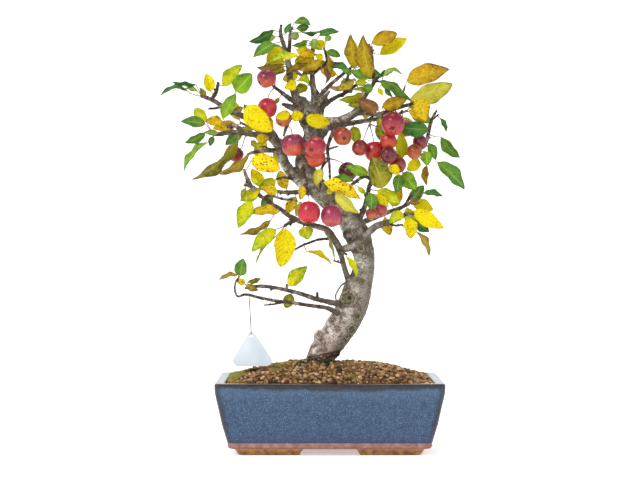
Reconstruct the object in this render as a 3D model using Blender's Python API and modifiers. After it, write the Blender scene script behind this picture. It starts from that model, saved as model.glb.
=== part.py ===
"""Crabapple bonsai: a tree with autumn leaves and small apples in a glazed rectangular pot.

Every table is in millimetres. A place is given as it shows from the front, x to the right and z up on
the upright plane through the trunk, with its depth y as a third number, away from the viewer.
"""
import math
import random

import bmesh
import bpy
from mathutils import Matrix, Vector

MM = 0.001
GAP = 0.3
SEED = 7

# The eye that the front view is drawn for, measured from the middle of the pot on the table.
EYE_X = -18.1
EYE_Z = 227.0
EYE_DISTANCE = 1985.0

# Pot
POT_WIDTH = 240.0
POT_DEPTH = 170.0
POT_HEIGHT = 76.5
FOOT_HEIGHT = 7.0
FLOOR_TOP = 15.0
CORNER_RADIUS = 6.0
# Outer wall from the rim down: how far it is set in from the rim, and its height.
OUTER_WALL = [(1.2, 76.5), (0.0, 74.8), (0.4, 66.5), (3.2, 53.0), (7.4, 33.0), (13.0, 13.6), (13.8, 9.1),
              (17.5, 7.0)]
INNER_WALL_TOP = (10.5, 75.0)
INNER_WALL_BOTTOM = (20.5, 16.5)
FOOT_OUTER_TOP = 19.5
FOOT_OUTER_BOTTOM = 24.0
FOOT_WIDTH = 9.0
FRONT_ARCH_HALF = 28.0
SIDE_ARCH_HALF = 22.0
ARCH_SLANT = 5.0
ARCH_BITE = 0.2
DRAIN_HOLE_X = 60.0
DRAIN_HOLE_RADIUS = 9.0

# What lies in the pot
MESH_CELLS = 3
MESH_BAR = 1.6
MESH_CELL = 5.6
MESH_THICKNESS = 0.8
WIRE_RADIUS = 0.5
WIRE_FOOT = 14.0
DRAINAGE_TOP = 27.0
SOIL_EDGE = 74.4
SOIL_RISE = 18.6
SOIL_COLUMNS = 24
SOIL_ROWS = 16
GRANULE_RELIEF = 1.5

# Rows of x, z, y and radius along each stem.
TRUNK = [(-9, 52, 0, 13), (-9, 72, 0, 15), (-9, 86, 0, 15.4), (-9, 100, 0, 14.5), (-3, 110, 1, 15),
         (4.5, 120, 2, 16), (11.5, 130, 2, 16.5), (18, 140, 2, 16.5), (23, 150, 2, 16.5), (27, 160, 1, 16),
         (30, 170, 0, 15.5), (33.5, 180, -1, 13.5), (36.5, 190, -2, 12), (38, 200, -2, 11),
         (37.5, 210, -2, 11.5), (34, 220, -2, 13), (31, 230, -2, 13.5), (26, 240, -1, 13), (19, 251, 0, 12),
         (8, 261, 0, 12), (-1, 270, 1, 12), (-11, 280, 2, 11.5), (-20, 291, 3, 11), (-26, 302, 3, 10.5),
         (-26, 314, 4, 10.5), (-21, 328, 4, 11), (-16, 340, 4, 11.5), (-18, 352, 3, 12), (-26, 364, 2, 11),
         (-30, 373, 2, 8)]
LIMBS = {
    "left limb": [(-18, 284, 2, 8), (-30, 288, 0, 6.5), (-40, 297, -1, 6), (-48, 308, -2, 5.5),
                  (-52, 320, -3, 5.5), (-57, 330, -4, 5), (-64, 337, -4, 4.5)],
    "right limb": [(-14, 352, 4, 6), (0, 353, 3, 5.5), (10, 354, 0, 5), (20, 358, -3, 4.8), (30, 363, -5, 4),
                   (41, 363, -7, 3)],
    "right limb fork": [(24, 359, -4, 4), (33, 370, -3, 3.4)],
    "front branch": [(28, 176, -6, 6), (21, 183, -9, 4), (18, 190, -10, 3.2), (15, 200, -11, 3),
                     (12.5, 210, -12, 3.2), (10, 218, -12, 4), (5, 227, -13, 3.8), (1, 233, -14, 3.8),
                     (-4, 237.5, -15, 3.5), (-15, 240.5, -17, 3.2), (-25, 243, -19, 3),
                     (-36, 247, -21, 2.7)],
    "front branch, right arm": [(11, 215, -12, 3.6), (22, 217.5, -17, 4.5), (30, 222.5, -18, 4.2),
                                (40, 231.5, -18, 4), (50, 240, -17, 4), (58, 243, -15, 3.6)],
    "crown, left": [(-28, 362, 2, 8), (-36.7, 382, 0, 4.5), (-38.8, 388, -1, 4.2)],
    "crown, middle": [(-20, 354, 4, 8), (-16, 370, 3, 5), (-16, 382, 3, 3.5)],
    "crown, right": [(-12, 354, 4, 6), (-8, 368, 6, 3.4), (0, 375, 7, 2.6)],
    "crown stub": [(-14, 368, 2, 3.4), (0, 386, -4, 1.8)],
    "crown spur": [(-34, 366, 0, 5), (-50, 372, -6, 2.2)],
    "bare twig": [(24, 182, -6, 2), (14, 177, -15, 1.4), (9, 170, -19, 1.2), (6.5, 164, -20, 1.2),
                  (8, 160, -20, 1)],
}
ROOTS = [(-60, 60, -22), (-42, 58, 34), (22, 62, 38), (38, 56, -10), (-4, 60, -46)]
# Rows of x, z, y and the radii across, along and through the bark.
BURRS = [(-13, 121, -2, 6, 8, 14), (20, 163, -10, 8, 9, 8),
         (34, 217, -9, 7, 6, 8), (23, 231, -8, 9, 7, 8), (-22, 362, -2, 16, 10, 12),
         (-12, 344, 0, 12, 9, 11), (-6, 378, 3, 5, 4, 5)]

# Leaves: x and z of the base, x and z of the tip, width as it shows, depth of the base and of the tip,
# and, where there is one, how far the middle bends off the straight line.
# Apples: x, z, radius, depth and the direction of the stalk.
SHOOTS = {
    "shoot_far_left": {
        "stems": [[(-54, 325, -3, 4), (-60, 339, 7, 3.8), (-68, 345, 10, 3.7), (-80, 352, 12, 3.6),
                   (-93, 359, 15, 3.4), (-106, 365, 19, 3), (-117, 371, 23, 2.6), (-127, 377, 26, 2.4),
                   (-138, 381, 28, 2)],
                  [(-127, 377, 26, 2.4), (-122, 386, 27, 2.1), (-120, 395, 28, 1.6)],
                  [(-115, 370, 22, 1.8), (-122, 368, 23, 1.4), (-130, 367, 24, 1)]],
        "leaves": [(-144, 393, -170, 394.5, 7, 25, 30, 3), (-150, 384, -183, 380, 6, 24, 18, 5.5),
                   (-128, 386, -133, 405, 9, 18, 14), (-115, 392, -94, 415, 15, 28, 22),
                   (-101, 386, -84, 405, 20, 18, 12)]},
    "shoot_left_tip": {
        "stems": [[(-60, 334, -4, 4.5), (-66, 338, -5, 4.3), (-78, 339, -7, 3.5), (-92, 341, -10, 3),
                   (-104, 342, -12, 2.7), (-118, 340, -14, 2.4), (-125, 339, -16, 1.6)],
                  [(-86, 340, -9, 2.8), (-97, 346, -8, 2.5), (-103, 349.5, -7, 2.3), (-109, 348, -6, 2)]],
        "leaves": [(-115, 356.5, -101, 384, 15, -6, 0), (-116, 354, -133, 354, 12, -8, -14),
                   (-134, 351, -160, 354, 13, -20, -28), (-133, 353, -145, 368, 14, -10, -6),
                   (-134, 341, -156, 330.5, 9, -16, -10), (-132, 331, -158, 300, 12, -12, -18),
                   (-98, 334, -148, 290, 14, -22, -34), (-79, 335, -65, 335, 9, -16, -14)],
        "apples": [(-101, 318, 8.3, -4, (0.75, -0.1, 0.9))]},
    "shoot_left_low": {
        "stems": [[(-52, 322, -3, 3.4), (-68, 322, -8, 2.3), (-82, 320, -14, 1.8), (-88, 318, -18, 1.2)],
                  [(-63, 321.5, -6, 1.4), (-69, 326, -9, 1.2), (-76, 326, -10, 0.9)]],
        "leaves": [(-87, 318, -121, 297, 10, -24, -30), (-79, 326, -84, 333, 7, -12, -9)]},
    "shoot_left_sprig": {
        "stems": [[(-34, 290, -1, 2), (-48, 293, -10, 1.5), (-57, 291, -15, 1.2)]],
        "leaves": [(-58, 292, -76, 281, 14, -16, -20)]},
    "shoot_front_left": {
        "stems": [[(-32, 245.5, -20, 2.9), (-45, 252.5, -23, 2.5), (-52, 258.5, -25, 2.3),
                   (-60, 263, -27, 2.2), (-66, 268, -28, 2), (-73, 272, -30, 2), (-80, 278, -31, 2.4),
                   (-86, 286, -32, 2.4), (-90, 295, -33, 2), (-92, 301, -34, 1.4)],
                  [(-82, 280, -31, 1.6), (-91, 286, -30, 1.1)],
                  [(-36, 247, -21, 2.6), (-43, 244, -25, 2), (-48, 241, -28, 1.5)],
                  [(-71, 271, -30, 1.7), (-64, 273.5, -32, 1.5), (-50, 269.5, -34, 1.4),
                   (-40, 269, -33, 1.3), (-36, 267.5, -32, 1.1)]],
        "leaves": [(-84, 312, -53, 302, 18, -38, -36), (-56, 277, -74, 283, 11, -42, -48),
                   (-84, 267, -98, 238, 15, -36, -44), (-54, 256, -87, 254, 8, -36, -44),
                   (-63, 247, -97, 232, 7, -30, -34), (-58, 237, -84, 213, 13, -33, -40),
                   (-47, 237, -52.5, 196, 24, -38, -46), (-30, 266, -36, 251, 9, -27, -26)]},
    "shoot_front_fork": {
        "stems": [[(5, 227, -13, 1.8), (-10, 226, -18, 1.4), (-20, 223, -21, 1.3), (-30, 219, -23, 1.2),
                   (-37, 215, -25, 1.1)]],
        "leaves": [(-24, 213, 3, 199.5, 8, -28, -26)]},
    "leaf_branch_low": {
        "stems": [[(15, 200, -11, 1.1), (11, 201, -18, 1), (5, 203, -23, 0.9)]],
        "leaves": [(5, 203, -6, 236, 5, -24, -30, 5.5)]},
    "leaf_trunk_front": {
        "stems": [[(11, 214, -12, 1.1), (15, 211, -21, 1), (19, 210, -23, 0.9)]],
        "leaves": [(20, 211, 30, 186, 9, -24, -26)]},
    "leaf_under_branch": {
        "stems": [[(-26, 243, -19, 1.1), (-28, 240, -24, 0.9)]],
        "leaves": [(-28, 239, -24, 228, 15, -26, -31)]},
    "shoot_low_upper": {
        "stems": [[(16, 159, -6, 4), (8, 157, -9, 3.4), (-5, 159.5, -11, 2.7), (-15, 162, -13, 2.5),
                   (-30, 167, -14, 2.3), (-45, 171, -16, 2.1), (-60, 174, -18, 2), (-75, 175.5, -20, 1.9),
                   (-90, 173.5, -22, 1.4)],
                  [(-13, 161, -13, 1.8), (-13, 168, -15, 1.4)],
                  [(-46, 171, -16, 1.6), (-46, 177, -16, 1.2)]],
        "leaves": [(-44, 176, -24, 197, 17, -20, -26), (-41, 167, -47, 152, 13, -10, -8),
                   (-90, 177, -77, 171, 8, -28, -26)]},
    "shoot_low_lower": {
        "stems": [[(12, 145, -8, 3.2), (5, 148.5, -15, 2.8), (-3, 152, -18, 2.3), (-20, 154.5, -22, 2),
                   (-30, 156, -23, 1.9), (-42, 158, -26, 1.8), (-57, 159.5, -29, 1.7), (-75, 163, -32, 1.6),
                   (-90, 166.5, -35, 1.4), (-99, 164.5, -36, 1.2), (-102, 172, -37, 1.1),
                   (-101, 180, -37, 1), (-97, 186, -37, 0.9)],
                  [(-47, 158.5, -27, 1.2), (-60, 156, -32, 1), (-70, 155, -35, 0.8)]],
        "leaves": [(-96, 187, -93, 205, 15, -38, -42), (-98, 188, -119, 183, 5, -38, -46)]},
    "shoot_crown_left": {
        "stems": [[(-38, 386, -1, 4), (-42.4, 399, -2, 3.8), (-43.5, 412, -2, 3.4), (-48, 432, -4, 2.5),
                   (-52.5, 448, -6, 2), (-52, 457, -6, 1.5)],
                  [(-44.5, 418, -2, 2.6), (-43, 435, 0, 2.2), (-42, 455, 2, 1.6)]],
        "leaves": [(-60, 452, -86, 439, 12, -10, -18), (-58, 445, -79, 440, 9, 0, 6),
                   (-60, 438, -82, 423.5, 12, -14, -22), (-52, 433, -67, 417, 17, -8, -4),
                   (-38, 460, -20, 457, 9, 4, 8, 4), (-35, 454, -22, 456, 9, 9, 14),
                   (-36, 395, -48, 390, 9, -10, -16), (-34, 398, -22, 393, 7, -9, -9, 5)],
        "apples": [(-37, 446, 4.5, -8, (-0.6, 0.5, -0.5))]},
    "shoot_crown_middle": {
        "stems": [[(-16, 378, 3, 3.5), (-18.5, 405, 2, 2.7), (-18.5, 427, 0, 2.3), (-15, 441, -2, 1.6)],
                  [(-18.5, 404, 2, 1.8), (-10, 411, 4, 1.5), (-3, 418, 6, 1.5), (-4, 427, 7, 1.4),
                   (-6, 433, 7, 1.1)]],
        "leaves": [(-11, 446, 11, 451, 8, -5, 0), (-15, 443, -18, 432, 8, -9, -13),
                   (-27, 427, -32, 418, 7, -10, -14), (-4, 440, 2, 446, 7, 6, 10),
                   (-24, 415, -34, 409, 7, -5, -8), (-33, 424, -66, 418, 13, -20, -27)]},
    "shoot_fruit_upper": {
        "stems": [[(-32, 372, 1, 3.1), (-43.5, 378.5, -7, 2.6), (-51, 384.5, -13, 2.1),
                   (-60.5, 391.5, -18, 1.5)]],
        "leaves": [],
        "apples": [(-68, 400, 10, -30, (0.75, 0.35, 0.5)),
                   (-67, 368, 10.5, -28, (0.1, -0.35, 0.9))]},
    "shoot_fruit_lower": {
        "stems": [[(-31, 362.5, 0, 3.1), (-41, 358, -8, 2.3), (-46.5, 347, -10, 1.8), (-49, 338.5, -9, 1.3)]],
        "leaves": [],
        "apples": [(-50, 356, 8, -27, (0.4, 0.5, 0.7)), (-39, 328, 12.3, -22.5, (-0.1, -0.1, 0.95))]},
    "shoot_diagonal": {
        "stems": [[(-4, 372, 6, 3), (1, 376, 7, 2.5), (10, 381, 9, 2.2), (17, 384, 10, 2), (25, 390, 9, 1.8),
                   (31, 394, 8, 1.4)],
                  [(16, 384, 10, 1.8), (20, 402, 8, 1.6), (23, 410, 6, 1.2)]],
        "leaves": [(28, 411, 23.5, 448, 16, 2, -6), (20, 411, -1, 414, 9, 10, 18),
                   (24, 404, 12, 411, 7, -1, -5), (28, 400, -2, 391, 7, 3, -4, -9),
                   (37, 384, 10, 377, 8, 2, -6)]},
    "shoot_upper_right": {
        "stems": [[(30, 366, -3, 3.3), (33, 371, -3, 3.1), (38, 380, -4, 2.5), (45, 390, -5, 2.2),
                   (50, 398, -6, 2), (54, 402, -7, 1.4)],
                  [(48, 395, -5, 1.7), (47, 418, 4, 1.4), (46, 434, 8, 1)],
                  [(50, 397, -6, 1.3), (60, 396, -10, 1.1), (68, 393, -14, 0.9)]],
        "leaves": [(45, 401, 36, 447, 19, -12, -20), (46, 438, 74, 449, 13, 4, 12),
                   (55, 426, 84, 443, 12, 14, 22), (40, 399, 22, 409, 9, -9, -12),
                   (40, 396, 28, 395, 9, -14, -18), (47, 388, 36, 390, 10, -20, -24),
                   (57, 400, 81, 402, 8, -14, -12, 6), (55, 397, 88, 375, 9, -20, -36, 7)]},
    "shoot_right_limb": {
        "stems": [[(37, 363, -6, 3), (46, 362, -9, 2.8), (52, 361, -11, 2.6), (60, 363, -13, 2.4),
                   (70, 367, -14, 2.2), (84, 371, -18, 2), (92, 373, -20, 1.3)],
                  [(74, 368, -15, 1.4), (79, 382, -21, 1.2), (82, 392, -26, 0.9)],
                  [(48, 362, -10, 1.6), (45, 355, -15, 1.2), (43, 349, -19, 1)]],
        "leaves": [(84, 397, 130, 410, 18, -28, -38), (88, 378, 134, 394, 17, -20, -8),
                   (98, 378, 104, 354, 17, -28, -33), (86, 366, 104, 353, 10, -25, -27),
                   (88, 369, 101, 360, 8, -14, -12), (57, 369, 85, 379, 12, -20, -26),
                   (53, 366, 31, 377, 11, -18, -24), (55, 357, 53, 348, 7, -12, -12)],
        "apples": [(69, 351, 12.5, -35, (0.1, 0.8, 0.5)), (64, 332, 9, -22.5, (-0.3, 0.1, 0.95)),
                   (49, 321, 11, -14, (-0.1, 0.1, 1)), (33, 325, 8.5, -27, (0.4, 0.3, 0.9)),
                   (83, 346, 9, 3, (-0.5, -0.3, 0.8))]},
    "shoot_right_middle": {
        "stems": [[(26, 238, -2, 5), (31, 247, -4, 4), (35, 253, -5, 3.2), (39, 264, -6, 2.6),
                   (42, 277, -7, 2.3), (44, 285, -7, 2.5), (52, 298, -6, 2.7), (62, 309, -3, 3),
                   (75, 317, 1, 2.6), (90, 322, 5, 2.4), (104, 331, 8, 2.2), (107, 340, 9, 2),
                   (109, 350, 10, 2), (113, 360, 10, 1.6), (116, 365, 10, 1.2)],
                  [(112, 356, 10, 1.3), (118, 361, 12, 0.9)],
                  [(47, 290, -7, 2.2), (38, 294, -14, 2), (28, 288, -20, 1.8), (20, 282, -24, 1.4)]],
        "leaves": [(106, 345, 76, 347, 18, -13, -19), (121, 336.5, 141, 314, 9, 12, 22),
                   (117, 309, 146.5, 280, 14, 10, 24), (108, 330, 115, 312, 11, -2, -6),
                   (104, 321, 106, 306, 13, -15, -19), (105, 306, 105, 284.5, 9, 2, 0),
                   (97, 312, 84, 301, 13, -10, -14), (79, 314, 77, 343, 14, -6, -13),
                   (58, 282, 46, 315, 24, -31, -38), (66, 306, 75, 296, 11, -38, -42),
                   (76, 296, 73, 277, 13, -26, -30), (80, 298, 94, 280, 16, -18, -24),
                   (52, 279, 77, 264, 12, -18, -22), (45, 276, 46, 258, 14, -28, -30),
                   (42, 297, 18, 305.5, 8, -17, -22), (31, 288, 3, 292, 7, -21, -22)],
        "apples": [(98, 331, 8, -10, (0.2, 0.6, -0.7)), (92, 321, 8, -21, (-0.2, 0.7, -0.6)),
                   (64, 317, 9, -35, (0.2, 0.8, 0.3)), (74, 307, 9, -22, (-0.2, 0.8, 0.5)),
                   (56, 258, 7, -7, (-0.6, -0.3, 0.9)), (46, 253.5, 6.5, -17, (-0.4, 0.3, 0.9))]},
    "shoot_lower_right": {
        "stems": [[(54, 241.5, -16, 3.6), (60, 243.5, -15, 3.3), (66, 244.5, -14, 3), (75, 250, -13, 2.2),
                   (83, 253, -12, 2), (91, 254, -12, 1.4)],
                  [(66, 245, -14, 2.4), (75, 258, -10, 2), (82, 263, -8, 1.8), (88, 273, -6, 1.5),
                   (93, 272, -6, 1)],
                  [(64, 243, -15, 1.5), (72, 241, -17, 1.2), (79, 242, -18, 0.9)]],
        "leaves": [(102, 276, 123, 272.5, 9, -5, 2), (92, 257, 124, 238, 15, -20, -30),
                   (92, 247, 108, 234, 12, -6, 0), (86, 249, 88, 227, 14, -20, -26),
                   (95, 234, 108, 208, 7, -12, -14), (78, 253, 66, 245, 10, -24, -30)]},
    "shoot_hanging": {
        "stems": [[(8, 352, 1, 3), (4, 342, -6, 2.3), (0, 332, -10, 2), (-2, 323, -13, 1.8),
                   (0, 309, -19, 1.4), (1, 289, -25, 1.2), (3, 276, -29, 1.1)],
                  [(-2, 323.5, -12.5, 1.3), (9, 326.5, -17, 1)],
                  [(-1, 312, -18, 1.3), (-8, 303, -22, 1.3), (-9, 288, -26, 1.2), (-10, 278, -28, 0.9)]],
        "leaves": [(-6, 288, 34, 269, 13, -33, -38), (7, 278, 32, 254, 13, -39, -46),
                   (-9, 302, -14, 284, 12, -29, -33), (3, 281, -3, 275, 7, -34, -36)],
        "apples": [(-15, 326, 11, -37.5, (0.4, 0.7, 0.3)), (-15, 315, 11, -17, (0.8, 0.1, 0.3)),
                   (14.5, 337.5, 10, -22, (-0.2, 0.9, 0.3)), (20, 299, 10, -1, (-0.5, -0.6, 0.8)),
                   (2.5, 251, 11.6, -35, (0, 0.2, 1))]},
    "shoot_trunk_spur": {
        "stems": [[(-27, 305, 0, 3.2), (-29, 299, -10, 2.6), (-28, 293, -17, 2.4), (-25, 283, -25, 2),
                   (-23, 275, -30, 1.6)]],
        "leaves": [(-29, 284, -31, 269, 9, -30, -32)],
        "apples": [(-22, 255, 12, -39, (0, 0.25, 1))]},
    "shoot_back_crown": {
        "stems": [[(-18, 352, 8, 5), (-14, 366, 18, 3.6), (-10, 380, 30, 2.8), (0, 392, 42, 2.3),
                   (14, 404, 52, 1.8), (26, 414, 58, 1.3)],
                  [(-10, 380, 30, 2.4), (-22, 396, 44, 2), (-38, 410, 52, 1.6), (-46, 420, 56, 1.1)]],
        "leaves": [(27, 418, 24, 444, 15, 58, 66), (32, 412, 44, 438, 17, 58, 50),
                   (30, 409, 58, 402, 14, 60, 68), (-46, 424, -64, 436, 14, 58, 64),
                   (-48, 419, -70, 414, 14, 56, 48), (-24, 392, -38, 384, 12, 42, 36)]},
    "shoot_back_left": {
        "stems": [[(-24, 318, 8, 5), (-34, 324, 20, 3.4), (-50, 331, 34, 2.8), (-68, 339, 46, 2.2),
                   (-84, 347, 54, 1.6), (-96, 352, 58, 1.2)]],
        "leaves": [(-97, 355, -106, 378, 14, 60, 64), (-100, 350, -126, 346, 13, 60, 52),
                   (-92, 344, -112, 328, 14, 58, 66), (-70, 334, -80, 316, 14, 48, 56)]},
    "shoot_back_right": {
        "stems": [[(-14, 342, 10, 5), (0, 347, 24, 3.6), (20, 351, 38, 3), (44, 355, 50, 2.4),
                   (66, 359, 58, 1.8), (84, 365, 62, 1.3)]],
        "leaves": [(86, 368, 108, 380, 16, 62, 70), (88, 364, 112, 352, 15, 62, 54),
                   (80, 358, 92, 338, 15, 62, 68), (62, 362, 74, 380, 14, 58, 50),
                   (54, 352, 58, 332, 14, 54, 62)]},
    "shoot_back_low_right": {
        "stems": [[(28, 236, 6, 5), (36, 244, 20, 3.4), (50, 250, 34, 2.8), (68, 257, 46, 2.2),
                   (86, 264, 54, 1.5)]],
        "leaves": [(90, 266, 112, 258, 15, 56, 62), (88, 268, 102, 284, 14, 54, 48),
                   (84, 260, 92, 240, 14, 56, 64), (68, 262, 78, 282, 15, 48, 42)]},
    "shoot_back_low_left": {
        "stems": [[(2, 270, 8, 5), (-8, 275, 22, 3.4), (-28, 277, 36, 2.8), (-50, 277, 48, 2.2),
                   (-70, 281, 56, 1.5)]],
        "leaves": [(-74, 281, -96, 268, 15, 58, 66), (-72, 284, -84, 302, 14, 56, 50),
                   (-62, 274, -72, 254, 14, 54, 60)]},
}

# Leaf and apple proportions
# Where along the blade its rings lie; two rings before them make the stalk.
BLADE_STATIONS = [0.0, 0.2, 0.5, 0.8, 1.0]
LEAF_THICKNESS = 1.5
LEAF_FOLD = 0.30
LEAF_ARCH = 0.07
LEAF_TOOTH = 0.09
FULL_WIDTH_SHARE = 0.46
STOUT_STEM = 3.2
STALK_RADIUS = 0.75
SHORTEST_STALK = 3.5
STEM_TIP = 2.0
STALK_END = 0.5
APPLE_SIDES = 8
# Share of the radius across and up, from the stalk hollow over the shoulder to the calyx.
APPLE_PROFILE = [(0, 0.66), (0.17, 0.66), (0.47, 0.91), (0.86, 0.60), (1.0, -0.04), (0.80, -0.65),
                 (0.34, -0.92), (0, -0.78)]

# Hang tag
TAG_CORNERS = [(-84, 121, 5), (-98, 95, 6), (-68, 95, 6)]
TAG_DEPTH = -34.0
TAG_THICKNESS = 0.8
TAG_HOLE = (-84.5, 122.0, 1.6)
THREAD_RADIUS = 0.4
THREAD_HANG_X = -86.5

COLOURS = {
    "glaze": (0.055, 0.11, 0.21), "wood": (0.20, 0.155, 0.12), "leaf": (0.36, 0.40, 0.05),
    "apple": (0.55, 0.035, 0.045), "soil": (0.17, 0.085, 0.04), "pumice": (0.55, 0.50, 0.42),
    "mesh": (0.03, 0.03, 0.03), "wire": (0.55, 0.56, 0.58), "tag": (0.82, 0.83, 0.90),
    "thread": (0.30, 0.29, 0.28),
}


def seen(x, z, y):
    """The point at depth y that shows at x and z from the front."""
    reach = (EYE_DISTANCE + y) / EYE_DISTANCE
    return Vector((EYE_X + (x - EYE_X) * reach, y, EYE_Z + (z - EYE_Z) * reach))


def material(name, colour, roughness=0.6, metallic=0.0):
    made = bpy.data.materials.new(name)
    made.use_nodes = True
    shader = made.node_tree.nodes["Principled BSDF"]
    shader.inputs["Base Color"].default_value = (*colour, 1.0)
    shader.inputs["Roughness"].default_value = roughness
    shader.inputs["Metallic"].default_value = metallic
    return made


def object_from(name, bm, collection):
    """A new object from a bmesh in millimetres."""
    bmesh.ops.scale(bm, vec=(MM, MM, MM), verts=bm.verts)
    mesh = bpy.data.meshes.new(name)
    bm.to_mesh(mesh)
    bm.free()
    made = bpy.data.objects.new(name, mesh)
    collection.objects.link(made)
    return made


def baked(obj):
    """Apply the modifiers of an object."""
    depsgraph = bpy.context.evaluated_depsgraph_get()
    mesh = bpy.data.meshes.new_from_object(obj.evaluated_get(depsgraph))
    obj.modifiers.clear()
    old = obj.data
    obj.data = mesh
    bpy.data.meshes.remove(old)


def rod(places, radii, sides_step, collection):
    """A closed round rod through places, as a mesh: 4 sides, and 2 more for each step."""
    curve = bpy.data.curves.new("stem", "CURVE")
    curve.dimensions = "3D"
    curve.bevel_depth = MM
    curve.bevel_resolution = sides_step
    curve.use_fill_caps = True
    spline = curve.splines.new("POLY")
    spline.points.add(len(places) - 1)
    for knot, place, radius in zip(spline.points, places, radii):
        knot.co = (*(place * MM), 1.0)
        knot.radius = radius
    return meshed(curve, collection)


def tube(points, sides_step, collection, grow=0.0):
    """A closed round stem through rows of x, z, y and radius, wider and longer by grow."""
    places = [seen(x, z, y) for x, z, y, _ in points]
    if grow:
        places[-1] = places[-1] + (places[-1] - places[-2]).normalized() * grow
    return rod(places, [row[3] + grow for row in points], sides_step, collection)


def meshed(curve, collection):
    """Turn a curve into a closed mesh object and remove the curve."""
    holder = bpy.data.objects.new(curve.name, curve)
    collection.objects.link(holder)
    depsgraph = bpy.context.evaluated_depsgraph_get()
    mesh = bpy.data.meshes.new_from_object(holder.evaluated_get(depsgraph))
    bm = bmesh.new()
    bm.from_mesh(mesh)
    bmesh.ops.remove_doubles(bm, verts=bm.verts, dist=0.00001)
    bmesh.ops.recalc_face_normals(bm, faces=bm.faces)
    bm.to_mesh(mesh)
    bm.free()
    made = bpy.data.objects.new(curve.name, mesh)
    made.matrix_world = holder.matrix_world
    collection.objects.link(made)
    bpy.data.objects.remove(holder)
    bpy.data.curves.remove(curve)
    return made


def fuse(name, pieces, collection):
    """Join closed pieces that run into one another."""
    first = pieces[0]
    others = bpy.data.collections.new(name + " pieces")
    bpy.context.scene.collection.children.link(others)
    for piece in pieces[1:]:
        for holder in list(piece.users_collection):
            holder.objects.unlink(piece)
        others.objects.link(piece)
    if len(pieces) > 1:
        join = first.modifiers.new("join", "BOOLEAN")
        join.operation = "UNION"
        join.operand_type = "COLLECTION"
        join.collection = others
        join.solver = "EXACT"
        baked(first)
    for piece in list(others.objects):
        mesh = piece.data
        bpy.data.objects.remove(piece)
        bpy.data.meshes.remove(mesh)
    bpy.data.collections.remove(others)
    first.name = name
    first.data.name = name
    for holder in list(first.users_collection):
        holder.objects.unlink(first)
    collection.objects.link(first)
    return first


def cut(obj, cutter, keep_modifier=False):
    """Take a cutter's shape away from an object."""
    bite = obj.modifiers.new("cut", "BOOLEAN")
    bite.operation = "DIFFERENCE"
    bite.object = cutter
    bite.solver = "EXACT"
    if not keep_modifier:
        baked(obj)


# Ways to split faces into triangles, tried in turn until no two diagonals fall together.
SPLITS = [("BEAUTY", "BEAUTY"), ("SHORT_EDGE", "EAR_CLIP"), ("FIXED", "EAR_CLIP"), ("LONG_EDGE", "BEAUTY"),
          ("ALTERNATE", "EAR_CLIP")]


def shells(bm):
    """The separate closed skins of a bmesh, each with its volume."""
    found = []
    unseen = set(bm.verts)
    while unseen:
        start = unseen.pop()
        group = {start}
        front = [start]
        while front:
            vert = front.pop()
            for edge in vert.link_edges:
                other = edge.other_vert(vert)
                if other in unseen:
                    unseen.discard(other)
                    group.add(other)
                    front.append(other)
        faces = {face for vert in group for face in vert.link_faces}
        volume = 0.0
        for face in faces:
            corners = [vert.co for vert in face.verts]
            for left, right in zip(corners[1:], corners[2:]):
                volume += corners[0].dot(left.cross(right)) / 6.0
        found.append((volume, group))
    return sorted(found, key=lambda entry: entry[0], reverse=True)


def one_body(obj):
    """Drop scraps and sealed hollows, so that one closed skin is left."""
    bm = bmesh.new()
    bm.from_mesh(obj.data)
    spare = [vert for _, group in shells(bm)[1:] for vert in group]
    bmesh.ops.delete(bm, geom=spare, context="VERTS")
    for quads, others in SPLITS:
        trial = bm.copy()
        bmesh.ops.triangulate(trial, faces=trial.faces, quad_method=quads, ngon_method=others)
        odd = [edge for edge in trial.edges if len(edge.link_faces) != 2]
        trial.to_mesh(obj.data)
        trial.free()
        if not odd:
            break
    bm.free()
    if odd:
        print(obj.name, "has", len(odd), "edges where it touches itself")


def rounded_ring(half_x, half_y, radius, z):
    """The corners of a rectangle with rounded corners, seen from above, counter-clockwise."""
    steps = 2
    ring = []
    for quarter, (sx, sy) in enumerate([(1, 1), (-1, 1), (-1, -1), (1, -1)]):
        for step in range(steps + 1):
            angle = math.pi / 2 * (quarter + step / steps)
            ring.append((sx * (half_x - radius) + radius * math.cos(angle),
                         sy * (half_y - radius) + radius * math.sin(angle), z))
    return ring


def loft(name, rings, collection):
    """A closed solid through rings of as many points each, closed by a face at both ends."""
    bm = bmesh.new()
    rows = [[bm.verts.new(point) for point in ring] for ring in rings]
    for low, high in zip(rows, rows[1:]):
        for index in range(len(low)):
            after = (index + 1) % len(low)
            bm.faces.new((low[index], low[after], high[after], high[index]))
    bm.faces.new(rows[0])
    bm.faces.new(rows[-1])
    bmesh.ops.recalc_face_normals(bm, faces=bm.faces)
    return object_from(name, bm, collection)


def finish(obj, paint, smooth_angle=None):
    obj.data.materials.clear()
    obj.data.materials.append(paint)
    if smooth_angle:
        obj.data.shade_smooth()
        obj.data.set_sharp_from_angle(angle=math.radians(smooth_angle))


def inner_inset(z):
    """How far the inside of the pot wall is set in from the rim at a height."""
    (top_inset, top_z), (low_inset, low_z) = INNER_WALL_TOP, INNER_WALL_BOTTOM
    return low_inset + (top_inset - low_inset) * (z - low_z) / (top_z - low_z)


def pot_ring(inset, z, radius=CORNER_RADIUS):
    return rounded_ring(POT_WIDTH / 2 - inset, POT_DEPTH / 2 - inset, radius, z)


def slanted_block(name, half_low, half_high, low, high, half_length, along_y, collection):
    """A bar with a slanted-sided section, for the arch between two feet."""
    ends = []
    for run in (-half_length, half_length):
        section = [(-half_low, low), (half_low, low), (half_high, high), (-half_high, high)]
        ends.append([(across, run, z) if along_y else (run, across, z) for across, z in section])
    return loft(name, ends, collection)


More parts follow.
